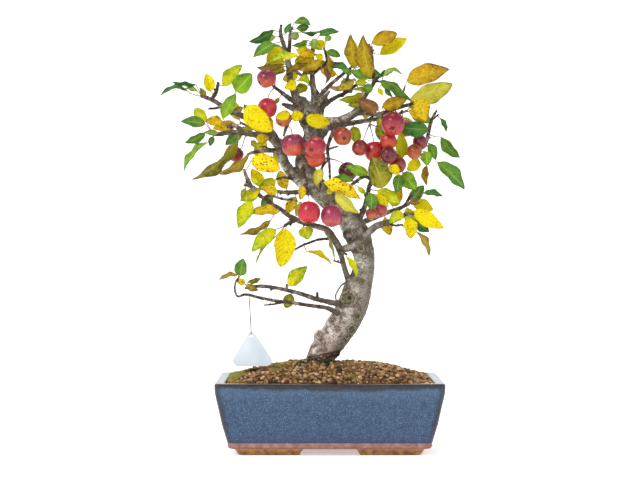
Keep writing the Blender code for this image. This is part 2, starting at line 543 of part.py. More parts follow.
def make_pot(parts, cutters):
    rings = [pot_ring(INNER_WALL_BOTTOM[0] + 3, FLOOR_TOP, 4), pot_ring(*INNER_WALL_BOTTOM, 5),
             pot_ring(*INNER_WALL_TOP, 5), pot_ring(INNER_WALL_TOP[0] - 1.5, POT_HEIGHT, 5)]
    rings += [pot_ring(inset, z) for inset, z in OUTER_WALL]
    rings += [pot_ring(FOOT_OUTER_TOP, FOOT_HEIGHT), pot_ring(FOOT_OUTER_BOTTOM, 0.0),
              pot_ring(FOOT_OUTER_BOTTOM + FOOT_WIDTH, 0.0, 3),
              pot_ring(FOOT_OUTER_BOTTOM + FOOT_WIDTH, FOOT_HEIGHT, 3)]
    pot = loft("pot", rings, parts)
    top = FOOT_HEIGHT + ARCH_BITE
    front_arch = slanted_block("front arch", FRONT_ARCH_HALF + ARCH_SLANT, FRONT_ARCH_HALF, -2.0, top,
                               POT_DEPTH / 2, True, cutters)
    side_arch = slanted_block("side arch", SIDE_ARCH_HALF + ARCH_SLANT, SIDE_ARCH_HALF, -2.0, top,
                              POT_WIDTH / 2, False, cutters)
    cut(pot, front_arch, keep_modifier=True)
    cut(pot, side_arch, keep_modifier=True)
    for side in (-1, 1):
        bm = bmesh.new()
        bmesh.ops.create_cone(bm, cap_ends=True, segments=16, radius1=DRAIN_HOLE_RADIUS,
                              radius2=DRAIN_HOLE_RADIUS, depth=30.0,
                              matrix=Matrix.Translation((side * DRAIN_HOLE_X, 0, FLOOR_TOP)))
        cut(pot, object_from("drain hole", bm, cutters), keep_modifier=True)
    finish(pot, material("glazed stoneware", COLOURS["glaze"], 0.3), 40)
    return pot


def make_drain_mesh(side, parts):
    """A square of plastic netting over a drain hole."""
    lines = [0.0]
    for _ in range(MESH_CELLS):
        lines += [lines[-1] + MESH_BAR, lines[-1] + MESH_BAR + MESH_CELL]
    lines.append(lines[-1] + MESH_BAR)
    half = lines[-1] / 2
    segments = len(lines) - 1
    bm = bmesh.new()
    bmesh.ops.create_grid(bm, x_segments=segments, y_segments=segments, size=1.0)
    cell_of = {}
    for face in bm.faces:
        middle = face.calc_center_median()
        cell_of[face] = (int((middle.x + 1) / 2 * segments), int((middle.y + 1) / 2 * segments))
    holes = [face for face, (column, row) in cell_of.items() if column % 2 and row % 2]
    for vert in bm.verts:
        column, row = round((vert.co.x + 1) / 2 * segments), round((vert.co.y + 1) / 2 * segments)
        vert.co = (side * DRAIN_HOLE_X + lines[column] - half, lines[row] - half, FLOOR_TOP + GAP)
    bmesh.ops.delete(bm, geom=holes, context="FACES_ONLY")
    net = object_from("drain_mesh_left" if side < 0 else "drain_mesh_right", bm, parts)
    thicken = net.modifiers.new("thickness", "SOLIDIFY")
    thicken.thickness = MESH_THICKNESS * MM
    thicken.offset = 1.0
    finish(net, material("black netting", COLOURS["mesh"], 0.5))


def make_drain_wire(side, parts):
    """The staple of wire that passes through the netting and bends outwards under the pot."""
    leg = MESH_CELL + MESH_BAR
    top = FLOOR_TOP + GAP + MESH_THICKNESS + GAP + WIRE_RADIUS
    low = FOOT_HEIGHT - GAP - WIRE_RADIUS
    route = [(-WIRE_FOOT, low), (-leg - 1, low), (-leg, low + 1), (-leg, top - 1), (1 - leg, top),
             (leg - 1, top), (leg, top - 1), (leg, low + 1), (leg + 1, low), (WIRE_FOOT, low)]
    curve = bpy.data.curves.new("staple", "CURVE")
    curve.dimensions = "3D"
    curve.bevel_depth = WIRE_RADIUS * MM
    curve.bevel_resolution = 0
    curve.use_fill_caps = True
    spline = curve.splines.new("POLY")
    spline.points.add(len(route) - 1)
    for knot, (x, z) in zip(spline.points, route):
        knot.co = ((side * DRAIN_HOLE_X + x) * MM, 0.0, z * MM, 1.0)
    staple = meshed(curve, parts)
    staple.name = "drain_wire_left" if side < 0 else "drain_wire_right"
    finish(staple, material("aluminium wire", COLOURS["wire"], 0.35, 1.0), 40)


def make_drainage_layer(parts, cutters):
    low = FLOOR_TOP + GAP
    rings = [pot_ring(INNER_WALL_BOTTOM[0] + 3 + 1.5, low, 4),
             pot_ring(inner_inset(low + 3) + 1, low + 3, 4.5),
             pot_ring(inner_inset(DRAINAGE_TOP) + GAP, DRAINAGE_TOP, 4.7)]
    layer = loft("drainage_layer", rings, parts)
    half = (MESH_CELLS * (MESH_CELL + MESH_BAR) + MESH_BAR) / 2 + GAP
    high = low + MESH_THICKNESS + 2 * GAP + 2 * WIRE_RADIUS + GAP
    for side in (-1, 1):
        bm = bmesh.new()
        place = Matrix.Translation((side * DRAIN_HOLE_X, 0, (high + low - 1) / 2))
        bmesh.ops.create_cube(bm, size=1.0,
                              matrix=place @ Matrix.Diagonal((2 * half, 2 * half, high - low + 1, 1)))
        cut(layer, object_from("netting pocket", bm, cutters), keep_modifier=True)
    finish(layer, material("pumice", COLOURS["pumice"], 0.9))


def soil_height(x, y):
    """The smooth top of the mound."""
    across = 1 - min(1.0, abs(x / 110.0)) ** 2.8
    through = 1 - min(1.0, abs(y / 75.0)) ** 2.4
    rise = SOIL_RISE * across * through
    collar = 3.0 * math.exp(-((x + 24) ** 2 + y ** 2) / 300.0)
    return SOIL_EDGE + rise + collar


def make_soil(parts, wood):
    """The heaped soil: a grid of granules on top, sides that follow the pot, and a hole for the trunk."""
    draw = random.Random(SEED)
    top_inset = inner_inset(SOIL_EDGE + GRANULE_RELIEF) + GAP + 0.6
    low = DRAINAGE_TOP + GAP
    low_inset = inner_inset(low) + GAP + 0.6
    bm = bmesh.new()
    bmesh.ops.create_grid(bm, x_segments=SOIL_COLUMNS, y_segments=SOIL_ROWS, size=1.0)
    half_x = POT_WIDTH / 2 - top_inset
    half_y = POT_DEPTH / 2 - top_inset
    for vert in bm.verts:
        u, v = vert.co.x, vert.co.y
        rim = max(abs(u), abs(v)) > 0.999
        trim = 2.2 if min(abs(u), abs(v)) > 0.999 else 0.0
        jitter = 0.0 if rim else 1.6
        x = u * (half_x - trim) + draw.uniform(-jitter, jitter)
        y = v * (half_y - trim) + draw.uniform(-jitter, jitter)
        relief = 0.0 if rim else draw.uniform(-GRANULE_RELIEF, GRANULE_RELIEF)
        vert.co = (x, y, soil_height(x, y) + relief)
    rim_edges = [edge for edge in bm.edges if edge.is_boundary]
    grown = bmesh.ops.extrude_edge_only(bm, edges=rim_edges)["geom"]
    shrink_x = (POT_WIDTH / 2 - low_inset) / half_x
    shrink_y = (POT_DEPTH / 2 - low_inset) / half_y
    for vert in [item for item in grown if isinstance(item, bmesh.types.BMVert)]:
        vert.co = (vert.co.x * shrink_x, vert.co.y * shrink_y, low)
    bmesh.ops.edgeloop_fill(bm, edges=[item for item in grown if isinstance(item, bmesh.types.BMEdge)])
    bmesh.ops.recalc_face_normals(bm, faces=bm.faces)
    soil = object_from("soil", bm, parts)
    cut(soil, wood)
    one_body(soil)
    finish(soil, material("clay granules", COLOURS["soil"], 0.95))


def wood_pieces(collection, grow):
    """The trunk, its roots, its thick limbs and its burrs, each wider by grow."""
    pieces = [tube(TRUNK, 3, collection, grow)]
    for rows in LIMBS.values():
        sides_step = 1 if max(row[3] for row in rows) > 2.1 else 0
        pieces.append(tube(rows, sides_step, collection, grow))
    base_x, base_z = TRUNK[0][0], TRUNK[0][1]
    for x, z, y in ROOTS:
        middle = ((x + base_x) / 2, (z + base_z) / 2 + 4, y / 2 * 1.1, 4.4)
        pieces.append(tube([(base_x, base_z + 12, 0, 6.5), middle, (x, z - 6, y, 2)], 1, collection, grow))
    for x, z, y, across, up, through in BURRS:
        bm = bmesh.new()
        size = Matrix.Diagonal((across + grow, through + grow, up + grow, 1))
        bmesh.ops.create_uvsphere(bm, u_segments=7, v_segments=5, radius=1.0,
                                  matrix=Matrix.Translation(seen(x, z, y)) @ size)
        pieces.append(object_from("burr", bm, collection))
    return pieces


def leaf_centre(base, tip, normal, side, bend, t):
    """A point of the arched midrib, from 0 at the base to 1 at the tip."""
    hump = 4 * t * (1 - t)
    length = (tip - base).length
    return base.lerp(tip, t) + normal * (LEAF_ARCH * length * hump) + side * (bend * hump)


def half_width(width, t):
    return 0.5 * width * math.sin(math.pi * t ** 0.8) ** 0.85


def make_leaf(row, index, stems, collection):
    """A toothed blade folded along its rib, with its stalk, from a sphere with four meridians."""
    base_x, base_z, tip_x, tip_z, width, base_y, tip_y = row[:7]
    bend = row[7] if len(row) > 7 else 0.0
    base, tip = seen(base_x, base_z, base_y), seen(tip_x, tip_z, tip_y)
    root = nearest_on_stems(base, stems)
    if (base - root).length < SHORTEST_STALK:
        base = root + (tip - root).normalized() * SHORTEST_STALK
    along = (tip - base).normalized()
    through = ((base - root).normalized() + along).normalized()
    true_width = max(width, FULL_WIDTH_SHARE * (tip - base).length)
    roll = math.acos(min(1.0, width / true_width)) * (1 if index % 2 else -1) + 0.25 * (index % 3 - 1)
    facing = Vector((0, -1, 0))
    normal = (facing - along * facing.dot(along)).normalized()
    across = along.cross(normal)
    upward = across if across.z > 0 else -across
    normal_turned = Matrix.Rotation(roll, 3, along) @ normal
    side = along.cross(normal_turned)
    bm = bmesh.new()
    rings = len(BLADE_STATIONS) + 1
    stalk = (base - root).normalized()
    bmesh.ops.create_uvsphere(bm, u_segments=4, v_segments=rings, radius=1.0)
    ring_of = {}
    edge_of = {}
    for vert in bm.verts:
        ring = round(math.acos(max(-1.0, min(1.0, vert.co.z))) * rings / math.pi)
        pole = ring in (0, rings)
        on_edge = not pole and abs(vert.co.x) > abs(vert.co.y)
        ring_of[vert] = ring
        edge_of[vert] = on_edge
        t = BLADE_STATIONS[max(0, ring - 2)]
        centre = leaf_centre(base, tip, normal_turned, upward, bend, t)
        if ring == 0:
            vert.co = root - stalk * STALK_END
        elif pole:
            vert.co = centre
        elif ring < 3:
            spoke = (side * vert.co.x + normal_turned * vert.co.y).normalized() * STALK_RADIUS
            turn = along.rotation_difference(through if ring == 2 else stalk)
            vert.co = (centre if ring == 2 else root) + turn @ spoke
        elif on_edge:
            tooth = 1 + LEAF_TOOTH * (1 if ring % 2 else -1)
            reach = half_width(true_width, t) * tooth
            vert.co = centre + side * math.copysign(reach, vert.co.x) + normal_turned * (LEAF_FOLD * reach)
        else:
            thick = LEAF_THICKNESS / 2 * (1 - 0.45 * t)
            vert.co = centre + normal_turned * math.copysign(thick, vert.co.y)
    for face in list(bm.faces):
        if len(face.verts) == 4:
            edges = sorted((v for v in face.verts if edge_of[v]), key=lambda v: ring_of[v])
            ribs = sorted((v for v in face.verts if not edge_of[v]), key=lambda v: ring_of[v])
            bmesh.utils.face_split(face, edges[0], ribs[1])
    bmesh.ops.recalc_face_normals(bm, faces=bm.faces)
    return object_from("leaf", bm, collection)


def nearest_on_stems(place, stems):
    """The point on the stems' centre lines that is nearest to a place."""
    best = None
    for stem in stems:
        points = [seen(x, z, y) for x, z, y, _ in stem]
        for start, end in zip(points, points[1:]):
            run = end - start
            last = 1 - min(0.5, STEM_TIP / run.length)
            share = max(0.0, min(last, (place - start).dot(run) / run.length_squared))
            spot = start + run * share
            if best is None or (spot - place).length < (best - place).length:
                best = spot
    return best


def apple_place(row):
    x, z, radius, y, lean = row
    return seen(x, z, y), radius, Vector(lean).normalized()


def make_shoot(name, rows, wood, parts, paint):
    """A twig with its leaves and fruit stalks in one piece, cut clear of the wood it grows on."""
    pieces = [tube(stem, 1 if stem[0][3] > STOUT_STEM else 0, parts) for stem in rows["stems"]]
    for index, row in enumerate(rows["leaves"]):
        pieces.append(make_leaf(row, index, rows["stems"], parts))
    for row in rows.get("apples", []):
        centre, radius, lean = apple_place(row)
        end = centre + lean * (APPLE_PROFILE[0][1] * radius + GAP)
        knee = centre + lean * (1.3 * radius)
        root = nearest_on_stems(centre + lean * (1.8 * radius), rows["stems"])
        pieces.append(rod([end, knee, root], [STALK_RADIUS, STALK_RADIUS, STALK_RADIUS + 0.2], 0, parts))
    shoot = fuse(name, pieces, parts)
    cut(shoot, wood)
    one_body(shoot)
    finish(shoot, paint)


def make_apple(name, row, paint, parts):
    """A turned fruit with a stalk hollow and a calyx hollow."""
    centre, radius, lean = apple_place(row)
    mesh = bpy.data.meshes.new(name)
    points = [(across * radius * MM, 0, up * radius * MM) for across, up in APPLE_PROFILE]
    mesh.from_pydata(points, [(index, index + 1) for index in range(len(points) - 1)], [])
    apple = bpy.data.objects.new(name, mesh)
    parts.objects.link(apple)
    turning = apple.modifiers.new("turning", "SCREW")
    turning.steps = APPLE_SIDES
    turning.render_steps = APPLE_SIDES
    turning.use_merge_vertices = True
    turning.merge_threshold = 0.00001
    turning.use_smooth_shade = True
    apple.location = centre * MM
    apple.rotation_mode = "QUATERNION"
    apple.rotation_quaternion = lean.to_track_quat("Z", "Y")
    mesh.materials.append(paint)


def arc_points(centre, radius, start, end, steps):
    for step in range(steps + 1):
        angle = start + (end - start) * step / steps
        yield centre[0] + radius * math.cos(angle), centre[1] + radius * math.sin(angle)


def make_tag(parts):
    """A thin plate in the shape of a rounded triangle, with a hole for the thread."""
    (top_x, top_z, top_r), (left_x, left_z, left_r), (right_x, right_z, right_r) = TAG_CORNERS
    outline = list(arc_points((top_x, top_z), top_r, math.radians(25), math.radians(155), 5))
    outline += list(arc_points((left_x, left_z), left_r, math.radians(160), math.radians(265), 5))
    outline += list(arc_points((right_x, right_z), right_r, math.radians(275), math.radians(380), 5))
    hole = list(arc_points(TAG_HOLE[:2], TAG_HOLE[2], 0, -2 * math.pi * 9 / 10, 9))
    curve = bpy.data.curves.new("tag", "CURVE")
    curve.dimensions = "2D"
    curve.fill_mode = "BOTH"
    curve.extrude = TAG_THICKNESS / 2 * MM
    for points in (outline, hole):
        spline = curve.splines.new("POLY")
        spline.points.add(len(points) - 1)
        spline.use_cyclic_u = True
        for knot, (x, z) in zip(spline.points, points):
            place = seen(x, z, TAG_DEPTH)
            knot.co = (place.x * MM, place.z * MM, 0, 1.0)
    tag = meshed(curve, parts)
    tag.name = "tag"
    tag.data.transform(Matrix.Translation((0, TAG_DEPTH * MM, 0)) @ Matrix.Rotation(math.pi / 2, 4, "X"))
    finish(tag, material("white card plastic", COLOURS["tag"], 0.35))


def thread_route():
    """The loop of thread: up in front of the branch, over it, down behind it and through the tag."""
    rows = SHOOTS["shoot_low_lower"]["stems"][0]
    place = seen(THREAD_HANG_X, 165.7, -34.2)
    branch = nearest_on_stems(place, [rows])
    branch_radius = 1.5
    reach = branch_radius + GAP + THREAD_RADIUS
    hole = seen(TAG_HOLE[0], TAG_HOLE[1], TAG_DEPTH)
    pinch = TAG_THICKNESS / 2 + GAP + THREAD_RADIUS
    knee = hole.z + TAG_HOLE[2] + 3.0
    front, back = hole.y - pinch, hole.y + pinch
    sag = hole.z + 0.1
    route = [Vector((branch.x, branch.y + reach, branch.z - 3.0))]
    route += [Vector((branch.x * 0.5 + hole.x * 0.5, (branch.y + reach + back) / 2, (branch.z + knee) / 2)),
              Vector((hole.x, back, knee)), Vector((hole.x, back, sag + 1.2)),
              Vector((hole.x, back - 0.5, sag + 0.25)), Vector((hole.x, hole.y, sag)),
              Vector((hole.x, front + 0.5, sag + 0.25)), Vector((hole.x, front, sag + 1.2)),
              Vector((hole.x, front, knee)),
              Vector((branch.x * 0.5 + hole.x * 0.5, (branch.y - reach + front) / 2, (branch.z + knee) / 2)),
              Vector((branch.x, branch.y - reach, branch.z - 3.0))]
    for angle in (180, 145, 110, 75, 40, 0):
        turn = math.radians(angle)
        around = Vector((0, reach * math.cos(turn), reach * math.sin(turn)))
        route.append(branch + around)
    route.append(Vector((branch.x, branch.y + reach, branch.z - 3.0 + GAP)))
    return route


def make_thread(parts):
    route = thread_route()
    curve = bpy.data.curves.new("tag_string", "CURVE")
    curve.dimensions = "3D"
    curve.bevel_depth = THREAD_RADIUS * MM
    curve.bevel_resolution = 0
    curve.use_fill_caps = True
    spline = curve.splines.new("POLY")
    spline.points.add(len(route) - 1)
    for knot, place in zip(spline.points, route):
        knot.co = (*(place * MM), 1.0)
    thread = meshed(curve, parts)
    thread.name = "tag_string"
    finish(thread, material("twine", COLOURS["thread"], 0.9), 50)


def stand_at_origin(parts):
    """Move everything so that the middle of the base of the whole tree is at the origin."""
    bpy.context.view_layer.update()
    depsgraph = bpy.context.evaluated_depsgraph_get()
    lows, highs = [], []
    for obj in parts.objects:
        if obj.name in ("tag", "tag_string"):
            continue
        mesh = obj.evaluated_get(depsgraph).data
        corners = [obj.matrix_world @ vert.co for vert in mesh.vertices]
        lows.append([min(corner[axis] for corner in corners) for axis in range(3)])
        highs.append([max(corner[axis] for corner in corners) for axis in range(3)])
    low = [min(row[axis] for row in lows) for axis in range(3)]
    high = [max(row[axis] for row in highs) for axis in range(3)]
    shift = Vector(((low[0] + high[0]) / 2, (low[1] + high[1]) / 2, low[2]))
    for collection in (parts, bpy.data.collections["cutters"]):
        for obj in collection.objects:
            obj.location = obj.location - shift
    print("pot centre stands at", [round(-value / MM, 2) for value in shift])
    print("size", [round((high[axis] - low[axis]) / MM, 1) for axis in range(3)])


def main():
    for obj in list(bpy.data.objects):
        bpy.data.objects.remove(obj)
    scene = bpy.context.scene
    parts = bpy.data.collections.new("crabapple bonsai")
    cutters = bpy.data.collections.new("cutters")
    scratch = bpy.data.collections.new("scratch")
    for collection in (parts, cutters, scratch):
        scene.collection.children.link(collection)
    make_pot(parts, cutters)
    for side in (-1, 1):
        make_drain_mesh(side, parts)
        make_drain_wire(side, parts)
    make_drainage_layer(parts, cutters)
    trunk = fuse("trunk", wood_pieces(parts, 0.0), parts)
    one_body(trunk)
    finish(trunk, material("bark", COLOURS["wood"], 0.85), 50)
    wider_wood = fuse("wider wood", wood_pieces(scratch, GAP), scratch)
    one_body(wider_wood)
    make_soil(parts, wider_wood)
    leaf_paint = material("autumn leaves", COLOURS["leaf"], 0.55)
    apple_paint = material("apple skin", COLOURS["apple"], 0.3)
    count = 0
    for name, rows in SHOOTS.items():
        make_shoot(name, rows, wider_wood, parts, leaf_paint)
        for row in rows.get("apples", []):
            count += 1
            make_apple(f"apple_{count:02d}", row, apple_paint, parts)
    make_tag(parts)
    make_thread(parts)
    bpy.data.objects.remove(wider_wood)
    bpy.data.collections.remove(scratch)
    for cutter in cutters.objects:
        cutter.hide_render = True
        cutter.display_type = "WIRE"
    stand_at_origin(parts)


main()
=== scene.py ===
# %% [markdown]
# Crabapple bonsai, dressed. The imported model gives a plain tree: trunk, shoots with flat blades, round fruit,
# soil and pot, each where it belongs. Here every one of them gets the skin that the real thing has: grown
# bark with scars, toothed leaves with ribs and autumn colours, streaked fruit with a dried flower end, loose
# clay granules with moss, and a speckled glaze. The frame is loaded first, because each size below is
# measured on it or comes from the same tables as its solids.

import math
import random

import bmesh
import bpy
import numpy as np
from mathutils import Matrix, Vector, kdtree, noise
from mathutils.bvhtree import BVHTree


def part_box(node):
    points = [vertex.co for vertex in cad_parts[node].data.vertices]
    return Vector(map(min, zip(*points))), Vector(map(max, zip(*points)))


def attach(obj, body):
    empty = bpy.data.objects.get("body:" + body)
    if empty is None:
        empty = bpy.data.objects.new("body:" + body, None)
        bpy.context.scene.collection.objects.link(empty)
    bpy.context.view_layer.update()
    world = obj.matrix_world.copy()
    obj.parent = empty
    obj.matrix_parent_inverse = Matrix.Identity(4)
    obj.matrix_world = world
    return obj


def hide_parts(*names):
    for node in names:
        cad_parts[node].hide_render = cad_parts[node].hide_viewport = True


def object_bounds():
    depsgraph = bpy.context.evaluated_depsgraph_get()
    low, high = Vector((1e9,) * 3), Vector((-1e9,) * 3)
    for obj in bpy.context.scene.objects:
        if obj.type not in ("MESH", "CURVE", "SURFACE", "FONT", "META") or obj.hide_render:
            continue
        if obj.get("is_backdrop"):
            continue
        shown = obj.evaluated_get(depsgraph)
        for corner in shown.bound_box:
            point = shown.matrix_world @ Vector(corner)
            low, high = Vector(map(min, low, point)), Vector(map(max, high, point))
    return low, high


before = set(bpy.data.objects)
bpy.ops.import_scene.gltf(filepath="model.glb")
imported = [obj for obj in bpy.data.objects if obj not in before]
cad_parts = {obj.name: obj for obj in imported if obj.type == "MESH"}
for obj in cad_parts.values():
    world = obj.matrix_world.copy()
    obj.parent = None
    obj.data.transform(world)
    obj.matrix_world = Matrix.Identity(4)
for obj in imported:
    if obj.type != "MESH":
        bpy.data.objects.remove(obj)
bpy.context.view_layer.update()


def show(made):
    """Put a new object in the scene."""
    bpy.context.scene.collection.objects.link(made)
    return made


# %% [markdown]
# All tables are in millimetres, as they show from the front: x to the right of the pot's middle, z above
# the table, and the depth y away from the eye. A thing further back has to stand further out to show at
# the same spot, so one short function turns a seen place into a real one. The pot's own box says where
# its middle stands.

# %% From what is seen to where it is
MM = 0.001
EYE_X = -18.1
EYE_Z = 227.0
EYE_DISTANCE = 1985.0
pot_low, pot_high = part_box("pot")
POT_X = (pot_low.x + pot_high.x) / 2 / MM
POT_Y = (pot_low.y + pot_high.y) / 2 / MM


def seen(x, z, y):
    reach = (EYE_DISTANCE + y) / EYE_DISTANCE
    return Vector((POT_X + EYE_X + (x - EYE_X) * reach, POT_Y + y, EYE_Z + (z - EYE_Z) * reach))


print("middle of the pot at", round(POT_X, 2), round(POT_Y, 2), "mm")

# %% [markdown]
# The picture is taken from two metres away, level with the middle of the tree, with a long lens. A long
# lens keeps the pot's sides nearly parallel. The camera stands exactly at the eye that the tables are
# drawn for, so nothing has to be shifted.

# %% Camera
LENS = 105.8
SENSOR = 36.0
camera_data = bpy.data.cameras.new("camera")
camera_data.lens = LENS
camera_data.sensor_width = SENSOR
camera_data.clip_start = 0.1
camera_data.clip_end = 60.0
camera = show(bpy.data.objects.new("camera", camera_data))
camera.location = seen(EYE_X, EYE_Z, -EYE_DISTANCE) * MM
camera.rotation_euler = (math.radians(90), 0, 0)
bpy.context.scene.camera = camera
print("camera at", [round(value, 3) for value in camera.location])

# %% [markdown]
# A shader is a sum of patterns, and sums are easier to read as Python than as a web of boxes. So a Wire
# wraps one socket and knows how to add and multiply, a Finish wraps one material, and its node method
# makes any other node from its type, its settings and what goes into its sockets. Numbers that are the
# same all over go straight onto the shader's own socket.


# %% Shaders as sums
class Wire:
    """A number or colour that flows out of a node."""

    def __init__(self, finish, socket):
        self.finish = finish
        self.socket = socket

    def __add__(self, other):
        return self.finish.math("ADD", self, other)

    def __sub__(self, other):
        return self.finish.math("SUBTRACT", self, other)

    def __mul__(self, other):
        return self.finish.math("MULTIPLY", self, other)

    def __truediv__(self, other):
        return self.finish.math("DIVIDE", self, other)

    def __pow__(self, other):
        return self.finish.math("POWER", self, other)

    def __rsub__(self, other):
        return self.finish.math("SUBTRACT", other, self)

    def __abs__(self):
        return self.finish.math("ABSOLUTE", self)

    __radd__ = __add__
    __rmul__ = __mul__


class Finish:
    """A material, with its fixed values set on the shader and its patterns added by calls."""

    def __init__(self, name, **fixed):
        self.material = bpy.data.materials.new(name)
        self.material.use_nodes = True
        self.tree = self.material.node_tree
        self.shader = self.tree.nodes["Principled BSDF"]
        for socket, value in fixed.items():
            self.shader.inputs[socket.replace("_", " ")].default_value = value

    def node(self, kind, settings=None, sockets=None, output=0):
        made = self.tree.nodes.new(kind)
        for name, value in (settings or {}).items():
            if name == "stops":
                self.set_stops(made.color_ramp, value)
            else:
                setattr(made, name, value)
        for name, value in (sockets or {}).items():
            if isinstance(value, Wire):
                self.tree.links.new(value.socket, made.inputs[name])
            else:
                made.inputs[name].default_value = value
        return Wire(self, made.outputs[output])

    def set_stops(self, ramp, stops):
        while len(ramp.elements) < len(stops):
            ramp.elements.new(0.5)
        for element, (place, colour) in zip(ramp.elements, stops):
            element.position = place
            element.color = colour

    def math(self, operation, *values):
        return self.node("ShaderNodeMath", {"operation": operation}, dict(enumerate(values)))

    def feed(self, **wires):
        for socket, wire in wires.items():
            self.tree.links.new(wire.socket, self.shader.inputs[socket.replace("_", " ")])

    def blend(self, share, first, second, way="MIX"):
        settings = {"data_type": "RGBA", "blend_type": way, "clamp_factor": True}
        return self.node("ShaderNodeMix", settings, {0: share, 6: first, 7: second}, 2)

    def ramp(self, value, *stops):
        return self.node("ShaderNodeValToRGB", {"stops": stops}, {0: value})

    def rise(self, value, start, end):
        """0 before start, 1 after end, and smooth in between."""
        return self.node("ShaderNodeMapRange", {"interpolation_type": "SMOOTHSTEP"},
                         {"Value": value, "From Min": start, "From Max": end})

    def painted(self, name):
        """A value painted on the points of the mesh, as a colour or three numbers."""
        return self.node("ShaderNodeAttribute", {"attribute_name": name}, output=1)

    def parts(self, vector):
        split = self.node("ShaderNodeSeparateXYZ", {}, {0: vector})
        return [Wire(self, socket) for socket in split.socket.node.outputs]

    def join(self, x, y, z):
        return self.node("ShaderNodeCombineXYZ", {}, {0: x, 1: y, 2: z})

    def place(self):
        """The place in millimetres."""
        spot = self.node("ShaderNodeTexCoord", output=3)
        return self.node("ShaderNodeVectorMath", {"operation": "SCALE"}, {0: spot, "Scale": 1 / MM})

    def cloud(self, vector, scale, detail=3.0, roughness=0.55):
        """Soft noise around one half."""
        return self.node("ShaderNodeTexNoise", {}, {"Vector": vector, "Scale": scale, "Detail": detail,
                                                    "Roughness": roughness})

    def cells(self, vector, scale, output=0):
        """The distance to the nearest of many scattered points, or with output 1 a colour for each."""
        return self.node("ShaderNodeTexVoronoi", {}, {"Vector": vector, "Scale": scale}, output)

    def wrapped(self, angle, radius, along):
        """A place on a stem bent round in space, so that a pattern on it has no seam."""
        return self.join(self.math("COSINE", angle) * radius, self.math("SINE", angle) * radius, along)

    def relief(self, height, depth, strength=1.0):
        """Bumps of a depth in millimetres where height goes from 0 to 1."""
        bump = self.node("ShaderNodeBump", {}, {"Height": height, "Distance": depth * MM,
                                                "Strength": strength})
        self.feed(Normal=bump)


def colour(red, green, blue):
    """A colour as an eye or a screen counts it, 0 to 255, made into light."""
    shares = [value / 255 for value in (red, green, blue)]
    return (*[share / 12.92 if share <= 0.04045 else ((share + 0.055) / 1.055) ** 2.4
              for share in shares], 1.0)


print("a mid grey of 128 is", round(colour(128, 128, 128)[0], 3), "of white")

# %% [markdown]
# A studio for a plant is a pale table, a large soft light from the front and above, and white all round, so
# that no shadow is hard and each leaf keeps its colour. The floor is a wide dish that rises softly far
# from the pot, and it glows a little, as a lit sheet does. The plain Standard view keeps a yellow leaf as
# yellow as it was mixed.

# %% Floor and lights
FLOOR_HALF = 5.0
FLAT_REACH = 3.4
FLOOR_RISE = 1.4
FLOOR_GLOW = 0.42
ROOM_LIGHT = 0.28
floor_mesh = bpy.data.meshes.new("floor")
bm = bmesh.new()
bmesh.ops.create_grid(bm, x_segments=64, y_segments=64, size=FLOOR_HALF)
for vert in bm.verts:
    past = max(0.0, vert.co.length - FLAT_REACH)
    vert.co.z = FLOOR_RISE * past ** 2
bm.to_mesh(floor_mesh)
bm.free()
floor_mesh.shade_smooth()
floor = show(bpy.data.objects.new("floor", floor_mesh))
paper = Finish("pale paper", Base_Color=(0.93, 0.93, 0.93, 1), Specular_IOR_Level=0.1,
               Emission_Color=(1, 1, 1, 1), Emission_Strength=FLOOR_GLOW)
paper_grain = paper.cloud(paper.place(), 0.4)
paper.feed(Roughness=0.8 + paper_grain * 0.2)
floor_mesh.materials.append(paper.material)
floor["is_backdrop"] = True

world = bpy.data.worlds.new("white room")
world.use_nodes = True
world.node_tree.nodes["Background"].inputs["Color"].default_value = (1.0, 1.0, 1.0, 1)
world.node_tree.nodes["Background"].inputs["Strength"].default_value = ROOM_LIGHT
bpy.context.scene.world = world
bpy.context.scene.view_settings.view_transform = "Standard"


def soft_light(name, place, target, size, power):
    data = bpy.data.lights.new(name, "AREA")
    data.shape = "DISK"
    data.size = size
    data.energy = power
    lamp = show(bpy.data.objects.new(name, data))
    lamp.location = place
    lamp.rotation_euler = (Vector(target) - Vector(place)).to_track_quat("-Z", "Y").to_euler()


TREE_MIDDLE = (0.0, 0.0, 0.25)
KEY_POWER = 34
FILL_POWER = 4
TOP_POWER = 14
soft_light("key light", (-1.2, -1.6, 1.9), TREE_MIDDLE, 0.7, KEY_POWER)
soft_light("fill light", (1.6, -1.6, 0.9), TREE_MIDDLE, 1.4, FILL_POWER)
soft_light("top light", (0.2, 0.4, 2.4), TREE_MIDDLE, 1.0, TOP_POWER)
print("lights:", len(bpy.data.lights))

# %% [markdown]
# Most of the tree is made of two shapes repeated: a round stem and a leaf. Both are worked out as rows of
# points with numpy, and a Skin gathers them, with the values painted on each point, and turns them into one
# piece at the end. One mesh for each shoot is lighter than hundreds of objects, and the painted values
# let a single leaf finish show every stage of autumn.


# %% A skin of many shapes
def paint_points(mesh, label, values):
    layer = mesh.attributes.new(label, "FLOAT_VECTOR", "POINT")
    layer.data.foreach_set("vector", values.astype(np.float32).ravel())


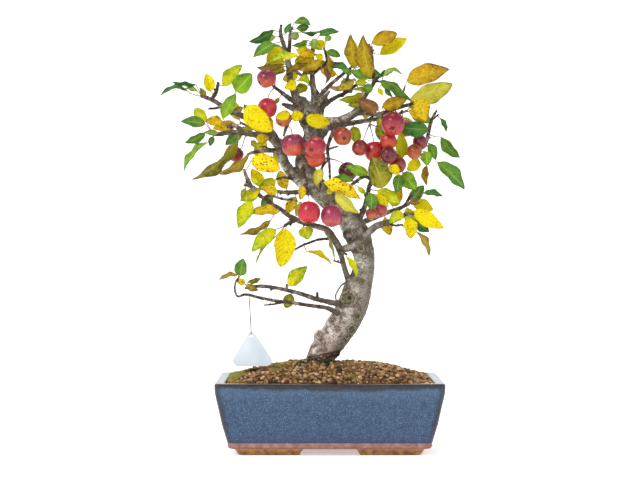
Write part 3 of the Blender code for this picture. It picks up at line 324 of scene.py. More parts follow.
class Skin:
    """Points, faces and painted values from several shapes, which become one piece."""

    def __init__(self):
        self.points = []
        self.faces = []
        self.slots = []
        self.paint = {}
        self.count = 0

    def add(self, points, faces, slot, **paint):
        points = np.asarray(points, float)
        for name in set(paint) | set(self.paint):
            rows = self.paint.setdefault(name, [np.zeros((self.count, 3))])
            rows.append(np.broadcast_to(paint.get(name, (0, 0, 0)), (len(points), 3)))
        self.faces += [tuple(corner + self.count for corner in face) for face in faces]
        self.slots += [slot] * len(faces)
        self.points.append(points)
        self.count += len(points)

    def piece(self, name, finishes, sharp=None):
        mesh = bpy.data.meshes.new(name)
        mesh.from_pydata(np.concatenate(self.points) * MM, [], self.faces)
        for label, rows in self.paint.items():
            paint_points(mesh, label, np.concatenate(rows))
        for finish in finishes:
            mesh.materials.append(finish.material)
        mesh.polygons.foreach_set("material_index", self.slots)
        mesh.shade_smooth()
        if sharp:
            mesh.set_sharp_from_angle(angle=math.radians(sharp))
        return show(bpy.data.objects.new(name, mesh))


def dress(piece, slot, *nodes):
    """The piece stands for its nodes and rides with the tree. The slot is not used."""
    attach(piece, "root")
    if nodes:
        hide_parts(*nodes)


def baked(piece):
    """A new mesh of the piece with its modifiers or its curves worked out."""
    return bpy.data.meshes.new_from_object(piece.evaluated_get(bpy.context.evaluated_depsgraph_get()))


def refinish(node, finish):
    node.data.materials.clear()
    node.data.materials.append(finish.material)


def triangles(piece):
    return sum(len(face.vertices) - 2 for face in piece.data.polygons)


print("shapes go into a Skin, and a Skin becomes a piece")

# %% [markdown]
# A twig is a tube that swells at its knots and never runs quite straight. It follows a smooth curve through
# the knots of the table, with a ring of points every millimetre or two. Each ring is turned as little as
# possible from the one before, so the tube doesn't twist. Along it go three painted numbers: the
# distance grown, the direction round it and its thickness, which later place the bark's pattern.


# %% Round stems
def smooth_line(rows, step):
    """Places and radii every step or so on a smooth curve through the rows of x, y, z and radius."""
    rows = np.asarray(rows, float)
    padded = np.vstack([2 * rows[0] - rows[1], rows, 2 * rows[-1] - rows[-2]])
    out = []
    for before, start, end, after in zip(padded, padded[1:], padded[2:], padded[3:]):
        count = max(1, int(round(np.linalg.norm((end - start)[:3]) / step)))
        t = (np.arange(count) / count)[:, None]
        out.append(0.5 * (2 * start + (end - before) * t + (2 * before - 5 * start + 4 * end - after) * t ** 2
                          + (3 * start - before - 3 * end + after) * t ** 3))
    out.append(rows[-1:])
    line = np.vstack(out)
    line[:, 3] = np.clip(line[:, 3], rows[:, 3].min(), rows[:, 3].max())
    return line


def ring_frames(line):
    """Two directions across the line at each of its points, carried along without twist."""
    ahead = np.gradient(line[:, :3], axis=0)
    ahead /= np.linalg.norm(ahead, axis=1)[:, None]
    across = np.cross(ahead[0], (0.3, 0.9, 0.31))
    sides, ups = [], []
    for direction in ahead:
        across = across - direction * across.dot(direction)
        across = across / np.linalg.norm(across)
        sides.append(across)
        ups.append(np.cross(direction, across))
    return ahead, np.array(sides), np.array(ups)


def tube_faces(rings, sides):
    """The faces of a tube through rings of points, closed at both ends."""
    faces = [(row * sides + k, row * sides + (k + 1) % sides, (row + 1) * sides + (k + 1) % sides,
              (row + 1) * sides + k) for row in range(rings - 1) for k in range(sides)]
    faces.append(tuple(reversed(range(sides))))
    faces.append(tuple((rings - 1) * sides + k for k in range(sides)))
    return faces


def stem(rows, sides, step, lumps=0.0, chance=0.0):
    """Points, faces and growth values of a closed stem with a round tip."""
    line = smooth_line(rows, step)
    ahead, across, up = ring_frames(line)
    lengths = np.concatenate([[0], np.cumsum(np.linalg.norm(np.diff(line[:, :3], axis=0), axis=1))])
    tip = line[-1, 3]
    for lift, narrow in ((0.5, 0.87), (0.87, 0.5)):
        line = np.vstack([line, [*(line[len(lengths) - 1, :3] + ahead[-1] * tip * lift), tip * narrow]])
    across = np.vstack([across, across[-1:], across[-1:]])
    up = np.vstack([up, up[-1:], up[-1:]])
    lengths = np.concatenate([lengths, [lengths[-1] + tip * 0.5, lengths[-1] + tip * 0.87]])
    angles = np.arange(sides) / sides * 2 * math.pi
    wave = np.sin(lengths[:, None] * 0.9 + chance * 7) * np.sin(angles * 2 + lengths[:, None] * 0.31)
    wave = wave + 0.6 * np.sin(lengths[:, None] * 2.3 + angles * 3 + chance)
    reach = (line[:, 3:4] * (1 + lumps * wave))[:, :, None]
    rings = (line[:, None, :3] + reach * (across[:, None] * np.cos(angles)[:, None]
                                          + up[:, None] * np.sin(angles)[:, None]))
    count = len(line)
    growth = np.zeros((count, sides, 3))
    growth[:, :, 0] = lengths[:, None]
    growth[:, :, 1] = angles
    growth[:, :, 2] = line[:, 3:4]
    return rings.reshape(-1, 3), tube_faces(count, sides), growth.reshape(-1, 3)


trial = stem([(0, 0, 0, 2), (0, 0, 20, 1)], 8, 2.0)
print("a 20 mm stem has", len(trial[0]), "points")

# %% [markdown]
# The wood of a crabapple is grey and fairly smooth, with low cross wrinkles, old pruning scars like eyes,
# and a rough dark collar where it leaves the soil. The trunk could be one swept tube, but its limbs have to
# grow out of it with soft armpits. So every limb is a round stem, they are all remeshed together into one
# skin, the skin is relaxed, and then each point is pushed in or out by the bark's own pattern.

# %% Trunk, limbs, roots and burrs
TRUNK = [(-9, 52, 0, 13), (-9, 72, 0, 15), (-9, 86, 0, 15.4), (-9, 100, 0, 14.5), (-3, 110, 1, 15),
         (4.5, 120, 2, 16), (11.5, 130, 2, 16.5), (18, 140, 2, 16.5), (23, 150, 2, 16.5), (27, 160, 1, 16),
         (30, 170, 0, 15.5), (33.5, 180, -1, 13.5), (36.5, 190, -2, 12), (38, 200, -2, 11),
         (37.5, 210, -2, 11.5), (34, 220, -2, 13), (31, 230, -2, 13.5), (26, 240, -1, 13), (19, 251, 0, 12),
         (8, 261, 0, 12), (-1, 270, 1, 12), (-11, 280, 2, 11.5), (-20, 291, 3, 11), (-26, 302, 3, 10.5),
         (-26, 314, 4, 10.5), (-21, 328, 4, 11), (-16, 340, 4, 11.5), (-18, 352, 3, 12), (-26, 364, 2, 11),
         (-30, 373, 2, 8)]
LIMBS = [
    [(-18, 284, 2, 8), (-30, 288, 0, 6.5), (-40, 297, -1, 6), (-48, 308, -2, 5.5), (-52, 320, -3, 5.5),
     (-57, 330, -4, 5), (-64, 337, -4, 4.5)],
    [(-14, 352, 4, 6), (0, 353, 3, 5.5), (10, 354, 0, 5), (20, 358, -3, 4.8), (30, 363, -5, 4),
     (41, 363, -7, 3)],
    [(24, 359, -4, 4), (33, 370, -3, 3.4)],
    [(28, 176, -6, 6), (21, 183, -9, 4), (18, 190, -10, 3.2), (15, 200, -11, 3), (12.5, 210, -12, 3.2),
     (10, 218, -12, 4), (5, 227, -13, 3.8), (1, 233, -14, 3.8), (-4, 237.5, -15, 3.5), (-15, 240.5, -17, 3.2),
     (-25, 243, -19, 3), (-36, 247, -21, 2.7)],
    [(11, 215, -12, 3.6), (22, 217.5, -17, 4.5), (30, 222.5, -18, 4.2), (40, 231.5, -18, 4),
     (50, 240, -17, 4), (58, 243, -15, 3.6)],
    [(-28, 362, 2, 8), (-36.7, 382, 0, 4.5), (-38.8, 388, -1, 4.2)],
    [(-20, 354, 4, 8), (-16, 370, 3, 5), (-16, 382, 3, 3.5)],
    [(-12, 354, 4, 6), (-8, 368, 6, 3.4), (0, 375, 7, 2.6)],
    [(-14, 368, 2, 3.4), (0, 386, -4, 1.8)],
    [(-34, 366, 0, 5), (-50, 372, -6, 2.2)],
    [(24, 182, -6, 2), (14, 177, -15, 1.4), (9, 170, -19, 1.2), (6.5, 164, -20, 1.2), (8, 160, -20, 1)],
]
ROOTS = [(-60, 60, -22), (-42, 58, 34), (22, 62, 38), (38, 56, -10), (-4, 60, -46)]
# Rows of x, z, y and the radii across, up and through the bark.
BURRS = [(-11, 121, -2, 6, 8, 13), (20, 163, -10, 8, 9, 8), (34, 217, -9, 7, 6, 8), (23, 231, -8, 9, 7, 8),
         (-22, 362, -2, 16, 10, 12), (-12, 344, 0, 12, 9, 11), (-6, 378, 3, 5, 4, 5)]
# Pruning scars as they show: x, z, radius and how strongly the eye is carved.
SCARS = [(21, 163, 8.0, 1.0), (30, 143, 4.0, 0.7), (24, 129, 5.5, 0.7), (3, 138, 3.5, 0.5),
         (19, 121, 3.5, 0.5), (34, 217, 4.5, 0.6), (22, 226, 4.0, 0.5), (-10, 124, 3.0, 0.3),
         (-26, 352, 5.5, 0.7), (-14, 372, 4.0, 0.6), (-30, 318, 3.5, 0.4), (33, 190, 3.0, 0.3)]
WOOD_GRAIN = 1.15
RELAX_ROUNDS = 6


def real_rows(rows):
    """Seen rows of x, z, y and radius as real x, y, z and radius."""
    return [(*seen(x, z, y), radius) for x, z, y, radius in rows]


wood = Skin()
grown = [(TRUNK, 32, 0.02)] + [(rows, 16, 0.05) for rows in LIMBS]
for rows, sides, lumps in grown:
    points, faces, _ = stem(real_rows(rows), sides, 2.5, lumps)
    wood.add(points, faces, 0)
foot_x, foot_z = TRUNK[0][:2]
for x, z, y in ROOTS:
    route = [(foot_x, foot_z + 14, 0, 6.5), ((x + foot_x) / 2, (z + foot_z) / 2 + 4, y * 0.55, 4.4),
             (x, z - 6, y, 2)]
    points, faces, _ = stem(real_rows(route), 14, 2.5, 0.08)
    wood.add(points, faces, 0)
for x, z, y, across, up, through in BURRS:
    bm = bmesh.new()
    bmesh.ops.create_icosphere(bm, subdivisions=4, radius=1.0)
    middle = np.array(seen(x, z, y))
    spots = np.array([vert.co for vert in bm.verts]) * (across, through, up) * 0.97 + middle
    wood.add(spots, [[vert.index for vert in face.verts] for face in bm.faces], 0)
    bm.free()
rough_wood = wood.piece("rough_wood", [])
fusing = rough_wood.modifiers.new("fuse", "REMESH")
fusing.mode = "VOXEL"
fusing.voxel_size = WOOD_GRAIN * MM
relaxing = rough_wood.modifiers.new("relax", "SMOOTH")
relaxing.factor = 0.5
relaxing.iterations = RELAX_ROUNDS
skin = baked(rough_wood)
bpy.data.objects.remove(rough_wood)
print("the fused wood has", len(skin.vertices), "points")

# %% [markdown]
# To draw bark, each point has to know how far along its limb it sits and on which side. The nearest point
# of the limbs' middle lines tells both. Wrinkles run across the growth, so their noise is squeezed along
# the limb, and broad swells run with it. A scar is a ring: a raised lip, a sunk middle and a few rings
# inside.

# %% Push the bark in and out
SWELL = 0.95
WRINKLE = 0.34
CREVICE = 1.5
CROWN_KNUCKLE = (-24, 360, 30)
COLLAR_TOP = 102.2
COLLAR_SLANT = 0.22
COLLAR_RELIEF = 1.5
LIP = 1.7

middle_lines = []
for rows, sides, _ in grown:
    line = smooth_line(real_rows(rows), 1.5)
    ahead, across, up = ring_frames(line)
    along = np.concatenate([[0], np.cumsum(np.linalg.norm(np.diff(line[:, :3], axis=0), axis=1))])
    middle_lines += list(zip(line, ahead, across, up, along + 400 * (rows is not TRUNK)))
tree = kdtree.KDTree(len(middle_lines))
for index, (spot, *_) in enumerate(middle_lines):
    tree.insert(spot[:3], index)
tree.balance()
scar_places = [(Vector((seen(x, z, 0).x, 0, seen(x, z, 0).z)), radius, depth)
               for x, z, radius, depth in SCARS]

count = len(skin.vertices)
growth, marks = np.zeros((count, 3)), np.zeros((count, 3))
moved = np.zeros((count, 3))
for index, vert in enumerate(skin.vertices):
    place = vert.co / MM
    best, lowest = None, 1e9
    for _, item, distance in tree.find_n(place, 3):
        over = distance / (middle_lines[item][0][3] + 1)
        if over < lowest:
            best, lowest = item, over
    spot, ahead, across, up, along = middle_lines[best]
    away = place - Vector(spot[:3])
    angle = math.atan2(away.dot(Vector(up)), away.dot(Vector(across)))
    along += away.dot(Vector(ahead))
    radius = spot[3]
    size = min(1.0, radius / 11)
    turn = Vector((math.cos(angle), math.sin(angle), 0)) * radius
    swell = noise.fractal(Vector((turn.x / 5, turn.y / 5, along / 19)), 0.9, 2.1, 3)
    wrinkle = noise.fractal(Vector((turn.x / 7, turn.y / 7, along / 1.9)), 0.8, 2.0, 3)
    knuckle = math.hypot(place.x - POT_X - CROWN_KNUCKLE[0], place.z - CROWN_KNUCKLE[1])
    knuckle = 1 - knuckle / CROWN_KNUCKLE[2]
    gnarled = 0.28 + 0.95 * max(0.0, min(1.0, knuckle * 2.2))
    crack = abs(noise.fractal(Vector((turn.x / 4.5, turn.y / 4.5, along / 13 + 9)), 0.7, 2.2, 3))
    crack = max(0.0, 1 - crack / 0.13) * gnarled
    lift = (SWELL * swell * size + WRINKLE * wrinkle) * (0.45 + 0.55 * size) * (0.7 + gnarled)
    lift -= CREVICE * crack * size
    carved = 0.0
    if vert.normal.y < -0.15:
        for middle, reach, depth in scar_places:
            flat = math.hypot(place.x - middle.x, place.z - middle.z) / reach
            if flat < 1.5:
                eye = math.exp(-((flat - 0.85) / 0.22) ** 2) - 1.25 * math.exp(-(flat / 0.5) ** 2)
                eye += 0.25 * math.sin(flat * 16) * (flat < 0.9)
                lift += LIP * depth * eye * (1 - max(0, flat - 1.1) / 0.4)
                carved = max(carved, (1 - flat / 1.5) * depth ** 0.5)
    collar = min(1.0, max(0.0, (COLLAR_TOP + COLLAR_SLANT * (place.x - POT_X + 9) - place.z) / 5 + 0.5))
    collar *= min(1.0, max(0.0, (130 - place.z) / 10))
    flake = noise.fractal(place / 5.5, 0.7, 2.2, 3)
    lift += COLLAR_RELIEF * collar * (0.5 + flake)
    moved[index] = vert.co + vert.normal * lift * MM
    growth[index] = along, angle, radius
    marks[index] = carved, collar, min(1.0, crack)
skin.vertices.foreach_set("co", moved.astype(np.float32).ravel())
paint_points(skin, "growth", growth)
paint_points(skin, "marks", marks)
skin.materials.clear()
skin.shade_smooth()
wood_piece = show(bpy.data.objects.new("trunk_bark", skin))
dress(wood_piece, "bark", "trunk")
print("bark relief of", round(2 * (SWELL + WRINKLE), 2), "mm over", triangles(wood_piece), "triangles")

# %% [markdown]
# The colour of the bark changes with height: dark and crusted at the soil, pinkish grey low down, silver
# grey in the middle and olive grey in the crown. Fine dark lines follow the wrinkles and pale lichen films
# lie in patches, painted paler on the left side as a painted highlight. The right side of the trunk and
# limbs is painted dark olive as painted shade, and the old scars are darker inside.

# %% Bark finish
bark = Finish("grey bark", Roughness=0.85, Specular_IOR_Level=0.25)
place = bark.place()
height = bark.parts(place)[2]
carved, collar, crack = bark.parts(bark.painted("marks"))
along, angle, radius = bark.parts(bark.painted("growth"))
squeezed = bark.wrapped(angle, radius, along * 3.2)
streaks = bark.wrapped(angle, radius, along * 0.25)
wrinkles = bark.cloud(squeezed, 0.22, 5, 0.65)
fibres = bark.cloud(streaks, 0.5, 4, 0.6)
patches = bark.cloud(place, 0.12, 5, 0.65)
specks = bark.cloud(place, 0.9, 2, 0.5)
by_height = bark.ramp(height / 470, (0.21, colour(172, 144, 136)), (0.29, colour(182, 169, 159)),
                      (0.42, colour(152, 146, 128)), (0.62, colour(140, 132, 112)),
                      (0.85, colour(112, 100, 84)))
to_right = bark.math("COSINE", angle) * -1 + (patches - 0.5) * 1.6
# Painted highlight: the pale lichen patches are painted strongest on the left side, which faces the key light.
painted_highlight_side = bark.rise(to_right, 0.7, -0.3) * 0.4 + 0.6
pale = bark.blend(bark.rise(patches, 0.47, 0.62) * painted_highlight_side, by_height, colour(214, 208, 202))
greener = bark.blend(bark.rise(fibres, 0.55, 0.75) * 0.5, pale, colour(118, 116, 84))
dim = bark.blend(bark.rise(patches, 0.48, 0.38) * 0.75, greener, colour(78, 68, 52))
lined = bark.blend(bark.rise(wrinkles, 0.48, 0.37) * 0.7, dim, colour(60, 50, 40))
speckled = bark.blend(bark.rise(specks, 0.56, 0.66) * 0.65, lined, colour(44, 38, 30))
# Painted shade: the right side of the trunk and limbs, away from the key light, is painted dark olive.
painted_shade_side = bark.blend(bark.rise(to_right, 0.35, 1.0) * 0.62, speckled, colour(74, 72, 52))
cracked = bark.blend(crack * 0.9, painted_shade_side, colour(38, 30, 24))
twigs = bark.blend(bark.rise(radius, 7.0, 2.6) * 0.72, cracked, colour(70, 57, 44))
uneven = carved + (bark.cloud(place, 0.35, 4, 0.7) - 0.5) * 0.8
eye = bark.ramp(uneven, (0.12, colour(150, 142, 122)), (0.26, colour(28, 22, 18)),
                (0.40, colour(156, 148, 124)), (0.54, colour(40, 34, 24)), (0.68, colour(116, 114, 72)),
                (0.84, colour(24, 20, 14)))
hollow = bark.blend(bark.rise(uneven, 0.10, 0.34) * bark.rise(carved, 0.0, 0.2) * 0.92, twigs, eye)
crust = bark.ramp(bark.cloud(place, 0.3, 4, 0.7), (0.38, colour(20, 16, 13)), (0.52, colour(70, 52, 42)),
                  (0.66, colour(150, 124, 100)))
torn = bark.blend(collar, hollow, crust)
seam = bark.rise(collar * (1 - collar) * 4 - bark.cloud(place, 0.25, 3) * 0.5, 0.45, 0.75)
bark.feed(Base_Color=bark.blend(seam * 0.7, torn, colour(30, 22, 18)))
bark.feed(Roughness=0.72 + wrinkles * 0.25)
bark.relief(wrinkles * 0.8 + specks * 0.25 + bark.cloud(squeezed, 0.7, 3) * 0.4 - crack * 0.5, 1.3, 0.9)
skin.materials.append(bark.material)
print("bark finish has", len(bark.tree.nodes), "nodes")

# %% [markdown]
# In autumn a crabapple carries every colour at once. Each leaf is given a stage, with one colour near the
# rib and base, one towards the edge and tip, the share of brown spots, the burn along the edge and how
# pale its ribs are. The words are a maker's names for those stages.

# %% Stages of autumn
STAGES = {
    "deep": ((62, 118, 44), (40, 90, 42), 0.05, 0.15, 0.3),
    "green": ((94, 140, 46), (60, 110, 42), 0.05, 0.1, 0.45),
    "fresh": ((132, 172, 34), (84, 140, 34), 0.05, 0.15, 0.45),
    "pale": ((146, 172, 84), (104, 138, 56), 0.1, 0.1, 0.4),
    "olive": ((158, 154, 26), (108, 118, 26), 0.25, 0.4, 0.35),
    "lime": ((200, 196, 8), (132, 166, 14), 0.25, 0.25, 0.4),
    "lemon": ((208, 208, 4), (178, 194, 8), 0.1, 0.1, 0.25),
    "primrose": ((202, 194, 74), (168, 168, 46), 0.2, 0.4, 0.45),
    "yellow": ((222, 206, 2), (218, 192, 0), 0.36, 0.2, 0.04),
    "gold": ((214, 184, 6), (190, 150, 6), 0.4, 0.4, 0.3),
    "amber": ((188, 156, 20), (144, 112, 16), 0.3, 0.7, 0.16),
    "bronze": ((182, 158, 12), (130, 104, 12), 0.4, 0.6, 0.4),
    "tan": ((182, 158, 54), (130, 108, 38), 0.5, 0.6, 0.3),
    "russet": ((156, 104, 66), (108, 70, 48), 0.4, 0.5, 0.3),
    "mottled": ((154, 148, 36), (84, 94, 28), 0.15, 0.6, 0.3),
    "spotted": ((226, 202, 4), (214, 176, 0), 1.0, 0.3, 0.3),
    "rimmed": ((212, 200, 10), (98, 146, 26), 0.2, 0.2, 0.4),
}
print(len(STAGES), "stages")

# %% [markdown]
# Every shoot is a set of twigs, its leaves and its apples. A leaf row gives where its base and tip show,
# the width as seen, the depth of both ends, its stage and, where it hangs in a curve, the bend. The
# first leaves of each shoot are the ones that its solid has, in the same order, and the small ones after
# them are too fine for the solid.

# %% Table of shoots
SHOOTS = {
    "shoot_far_left": {
        "stems": [[(-54, 325, -3, 4), (-60, 339, 7, 3.8), (-68, 345, 10, 3.7), (-80, 352, 12, 3.6),
                   (-93, 359, 15, 3.4), (-106, 365, 19, 3), (-117, 371, 23, 2.6), (-127, 377, 26, 2.4),
                   (-138, 381, 28, 2)],
                  [(-127, 377, 26, 2.4), (-122, 386, 27, 2.1), (-120, 395, 28, 1.6)],
                  [(-115, 370, 22, 1.8), (-122, 368, 23, 1.4), (-130, 367, 24, 1)]],
        "leaves": [(-144, 393, -170, 394.5, 7, 25, 30, "deep", 3),
                   (-150, 384, -183, 380, 6, 24, 18, "deep", 5.5),
                   (-128, 386, -133, 405, 13, 18, 14, "yellow"), (-115, 392, -94, 415, 17, 28, 22, "lime"),
                   (-101, 386, -84, 405, 22, 18, 12, "fresh"), (-142, 386, -157, 389, 6, 34, 40, "pale"),
                   (-133, 382, -140, 390, 6, 20, 16, "olive"), (-93, 369, -106, 361, 8, 24, 28, "amber"),
                   (-90, 369, -62, 343, 25, -36, -42, "yellow")]},
    "shoot_left_tip": {
        "stems": [[(-60, 334, -4, 4.5), (-66, 338, -5, 4.3), (-78, 339, -7, 3.5), (-92, 341, -10, 3),
                   (-104, 342, -12, 2.7), (-118, 340, -14, 2.4), (-125, 339, -16, 1.6)],
                  [(-86, 340, -9, 2.8), (-97, 346, -8, 2.5), (-103, 349.5, -7, 2.3), (-109, 348, -6, 2)]],
        "leaves": [(-115, 356.5, -101, 384, 15, -6, 0, "fresh"), (-116, 354, -133, 354, 12, -8, -14, "gold"),
                   (-134, 351, -160, 354, 13, -20, -28, "green"), (-133, 353, -145, 368, 14, -10, -6, "lime"),
                   (-134, 341, -156, 330.5, 9, -16, -10, "green"),
                   (-132, 331, -158, 300, 12, -12, -18, "fresh"),
                   (-98, 334, -148, 290, 17, -22, -34, "mottled"), (-79, 335, -65, 335, 11, -16, -14, "gold"),
                   (-121, 342, -135, 342, 6, -26, -32, "pale"), (-83, 344, -95, 346, 5, -16, -20, "olive"),
                   (-126, 337, -129, 327, 7, -26, -30, "deep")],
        "apples": [(-101, 318, 8.3, -4, (0.75, -0.1, 0.9))]},
    "shoot_left_low": {
        "stems": [[(-52, 322, -3, 3.4), (-68, 322, -8, 2.3), (-82, 320, -14, 1.8), (-88, 318, -18, 1.2)],
                  [(-63, 321.5, -6, 1.4), (-69, 326, -9, 1.2), (-76, 326, -10, 0.9)]],
        "leaves": [(-87, 318, -121, 297, 13, -24, -30, "tan"), (-79, 326, -84, 333, 7, -12, -9, "olive")]},
    "shoot_left_sprig": {
        "stems": [[(-34, 290, -1, 2), (-48, 293, -10, 1.5), (-57, 291, -15, 1.2)]],
        "leaves": [(-58, 292, -76, 281, 14, -16, -20, "rimmed")]},
    "shoot_front_left": {
        "stems": [[(-32, 245.5, -20, 2.9), (-45, 252.5, -23, 2.5), (-52, 258.5, -25, 2.3),
                   (-60, 263, -27, 2.2), (-66, 268, -28, 2), (-73, 272, -30, 2), (-80, 278, -31, 2.4),
                   (-86, 286, -32, 2.4), (-90, 295, -33, 2), (-92, 301, -34, 1.4)],
                  [(-82, 280, -31, 1.6), (-91, 286, -30, 1.1)],
                  [(-36, 247, -21, 2.6), (-43, 244, -25, 2), (-48, 241, -28, 1.5)],
                  [(-71, 271, -30, 1.7), (-64, 273.5, -32, 1.5), (-50, 269.5, -34, 1.4),
                   (-40, 269, -33, 1.3), (-36, 267.5, -32, 1.1)]],
        "leaves": [(-84, 312, -53, 302, 21, -38, -36, "spotted"), (-56, 277, -74, 283, 11, -42, -48, "gold"),
                   (-84, 267, -98, 238, 18, -36, -44, "lime"), (-54, 256, -87, 254, 8, -36, -44, "gold"),
                   (-63, 247, -97, 232, 7, -30, -34, "tan"), (-58, 237, -84, 213, 17, -33, -40, "lime"),
                   (-47, 237, -52.5, 196, 24, -38, -46, "yellow"), (-30, 266, -36, 251, 9, -27, -26, "lime"),
                   (-92, 286, -95, 270, 6, -30, -30, "olive"), (-84, 291, -75, 285, 6, -38, -42, "lime"),
                   (-84, 270, -76, 279, 6, -37, -39, "yellow"), (-64, 224, -79, 200, 5, -26, -24, "olive")]},
    "shoot_front_fork": {
        "stems": [[(5, 227, -13, 1.8), (-10, 226, -18, 1.4), (-20, 223, -21, 1.3), (-30, 219, -23, 1.2),
                   (-37, 215, -25, 1.1)]],
        "leaves": [(-24, 213, 3, 199.5, 8, -28, -26, "yellow")]},
    "leaf_branch_low": {
        "stems": [[(15, 200, -11, 1.1), (11, 201, -18, 1), (5, 203, -23, 0.9)]],
        "leaves": [(5, 203, -6, 236, 5, -24, -30, "olive", 5.5)]},
    "leaf_trunk_front": {
        "stems": [[(11, 214, -12, 1.1), (15, 211, -21, 1), (19, 210, -23, 0.9)]],
        "leaves": [(20, 211, 30, 186, 9, -24, -26, "lemon")]},
    "leaf_under_branch": {
        "stems": [[(-26, 243, -19, 1.1), (-28, 240, -24, 0.9)]],
        "leaves": [(-28, 239, -23, 226, 17, -26, -31, "lime")]},
    "shoot_low_upper": {
        "stems": [[(16, 159, -6, 4), (8, 157, -9, 3.4), (-5, 159.5, -11, 2.7), (-15, 162, -13, 2.5),
                   (-30, 167, -14, 2.3), (-45, 171, -16, 2.1), (-60, 174, -18, 2), (-75, 175.5, -20, 1.9),
                   (-90, 173.5, -22, 1.4)],
                  [(-13, 161, -13, 1.8), (-13, 168, -15, 1.4)],
                  [(-46, 171, -16, 1.6), (-46, 177, -16, 1.2)]],
        "leaves": [(-44, 176, -24, 197, 17, -20, -26, "rimmed"), (-41, 167, -47, 152, 13, -10, -8, "olive"),
                   (-90, 177, -77, 171, 8, -28, -26, "tan"), (-88, 180, -74, 184, 5, -16, -12, "olive"),
                   (-91, 178, -100, 183, 8, -16, -18, "yellow")]},
    "shoot_low_lower": {
        "stems": [[(12, 145, -8, 3.2), (5, 148.5, -15, 2.8), (-3, 152, -18, 2.3), (-20, 154.5, -22, 2),
                   (-30, 156, -23, 1.9), (-42, 158, -26, 1.8), (-57, 159.5, -29, 1.7), (-75, 163, -32, 1.6),
                   (-90, 166.5, -35, 1.4), (-99, 164.5, -36, 1.2), (-102, 172, -37, 1.1),
                   (-101, 180, -37, 1), (-97, 186, -37, 0.9)],
                  [(-47, 158.5, -27, 1.2), (-60, 156, -32, 1), (-70, 155, -35, 0.8)]],
        "leaves": [(-96, 187, -93, 205, 15, -38, -42, "green"), (-98, 188, -119, 183, 5, -38, -46, "tan")]},
    "shoot_crown_left": {
        "stems": [[(-38, 386, -1, 4), (-42.4, 399, -2, 3.8), (-43.5, 412, -2, 3.4), (-48, 432, -4, 2.5),
                   (-52.5, 448, -6, 2), (-52, 457, -6, 1.5)],
                  [(-44.5, 418, -2, 2.6), (-43, 435, 0, 2.2), (-42, 455, 2, 1.6)]],
        "leaves": [(-60, 452, -86, 439, 12, -10, -18, "deep"), (-58, 445, -79, 440, 11, 0, 6, "pale"),
                   (-60, 438, -82, 423.5, 14, -14, -22, "green"), (-52, 433, -67, 417, 17, -8, -4, "yellow"),
                   (-38, 460, -20, 457, 9, 4, 8, "green", 4), (-35, 454, -22, 456, 9, 9, 14, "green"),
                   (-36, 395, -48, 390, 12, -10, -16, "yellow"), (-34, 398, -22, 393, 9, -9, -9, "lime", 5),
                   (-50, 415, -78, 412, 6, -6, 0, "tan"), (-47, 409, -62, 404, 6, -6, -10, "olive"),
                   (-48, 448, -41, 460, 6, -10, -12, "deep"), (-30, 450, 0, 455, 5, 4, 10, "deep"),
                   (-48, 413, -69, 406, 7, -9, -13, "tan"), (-46, 427, -58, 431, 8, 3, 6, "olive")],
        "apples": [(-37, 446, 4.5, -8, (-0.6, 0.5, -0.5))]},
    "shoot_crown_middle": {
        "stems": [[(-16, 378, 3, 3.5), (-18.5, 405, 2, 2.7), (-18.5, 427, 0, 2.3), (-15, 441, -2, 1.6)],
                  [(-18.5, 404, 2, 1.8), (-10, 411, 4, 1.5), (-3, 418, 6, 1.5), (-4, 427, 7, 1.4),
                   (-6, 433, 7, 1.1)]],
        "leaves": [(-11, 446, 11, 451, 10, -5, 0, "deep"), (-15, 443, -18, 432, 8, -9, -13, "pale"),
                   (-27, 427, -32, 418, 7, -10, -14, "gold"), (-4, 440, 2, 446, 7, 6, 10, "pale"),
                   (-24, 415, -34, 409, 7, -5, -8, "olive"), (-33, 424, -66, 418, 13, -20, -27, "rimmed"),
                   (-23, 441, -40, 435, 7, -10, -14, "green"), (-6, 433, 12, 424, 9, 9, 10, "green"),
                   (-8, 416, -32, 416, 5, -8, -14, "tan"), (-22, 411, -28, 403, 6, -4, -6, "olive"),
                   (-5, 414, -2, 398, 5, 5, 4, "russet"), (-12, 441, -5, 434, 9, 2, 4, "yellow"),
                   (-13, 426, -8, 419, 9, -4, -6, "yellow"), (-26, 437, -31, 428, 8, -8, -10, "lime"),
                   (-36, 431, -14, 425, 12, -14, -9, "gold"), (-32, 421, -11, 413, 11, -11, -7, "gold"),
                   (-4, 430, -3, 394, 7, 12, 10, "tan"), (-14, 413, -30, 403, 10, 8, 4, "amber"),
                   (-22, 438, -7, 431, 9, -8, -5, "lime"), (-15, 420, 1, 410, 9, 12, 14, "yellow"),
                   (-9, 419, -33, 409, 9, -14, -19, "bronze"), (-24, 414, -46, 406, 7, -9, -14, "tan")]},
    "shoot_fruit_upper": {
        "stems": [[(-32, 372, 1, 3.1), (-43.5, 378.5, -7, 2.6), (-51, 384.5, -13, 2.1),
                   (-60.5, 391.5, -18, 1.5)]],
        "leaves": [(-54, 379, -60, 372, 5, -13, -14, "olive")],
        "apples": [(-68, 400, 10, -30, (0.75, 0.35, 0.5)), (-67, 368, 10.5, -28, (0.1, -0.35, 0.9))]},
    "shoot_fruit_lower": {
        "stems": [[(-31, 362.5, 0, 3.1), (-41, 358, -8, 2.3), (-46.5, 347, -10, 1.8), (-49, 338.5, -9, 1.3)]],
        "leaves": [(-43, 363, -57, 357, 11, -38, -41, "yellow"), (-41, 358, -28, 361, 12, -24, -28, "yellow"),
                   (-25, 357, 1, 352, 16, -24, -21, "yellow")],
        "apples": [(-50, 356, 8, -27, (0.4, 0.5, 0.7)), (-39, 328, 12.3, -22.5, (-0.1, -0.1, 0.95))]},
    "shoot_diagonal": {
        "stems": [[(-4, 372, 6, 3), (1, 376, 7, 2.5), (10, 381, 9, 2.2), (17, 384, 10, 2), (25, 390, 9, 1.8),
                   (31, 394, 8, 1.4)],
                  [(16, 384, 10, 1.8), (20, 402, 8, 1.6), (23, 410, 6, 1.2)]],
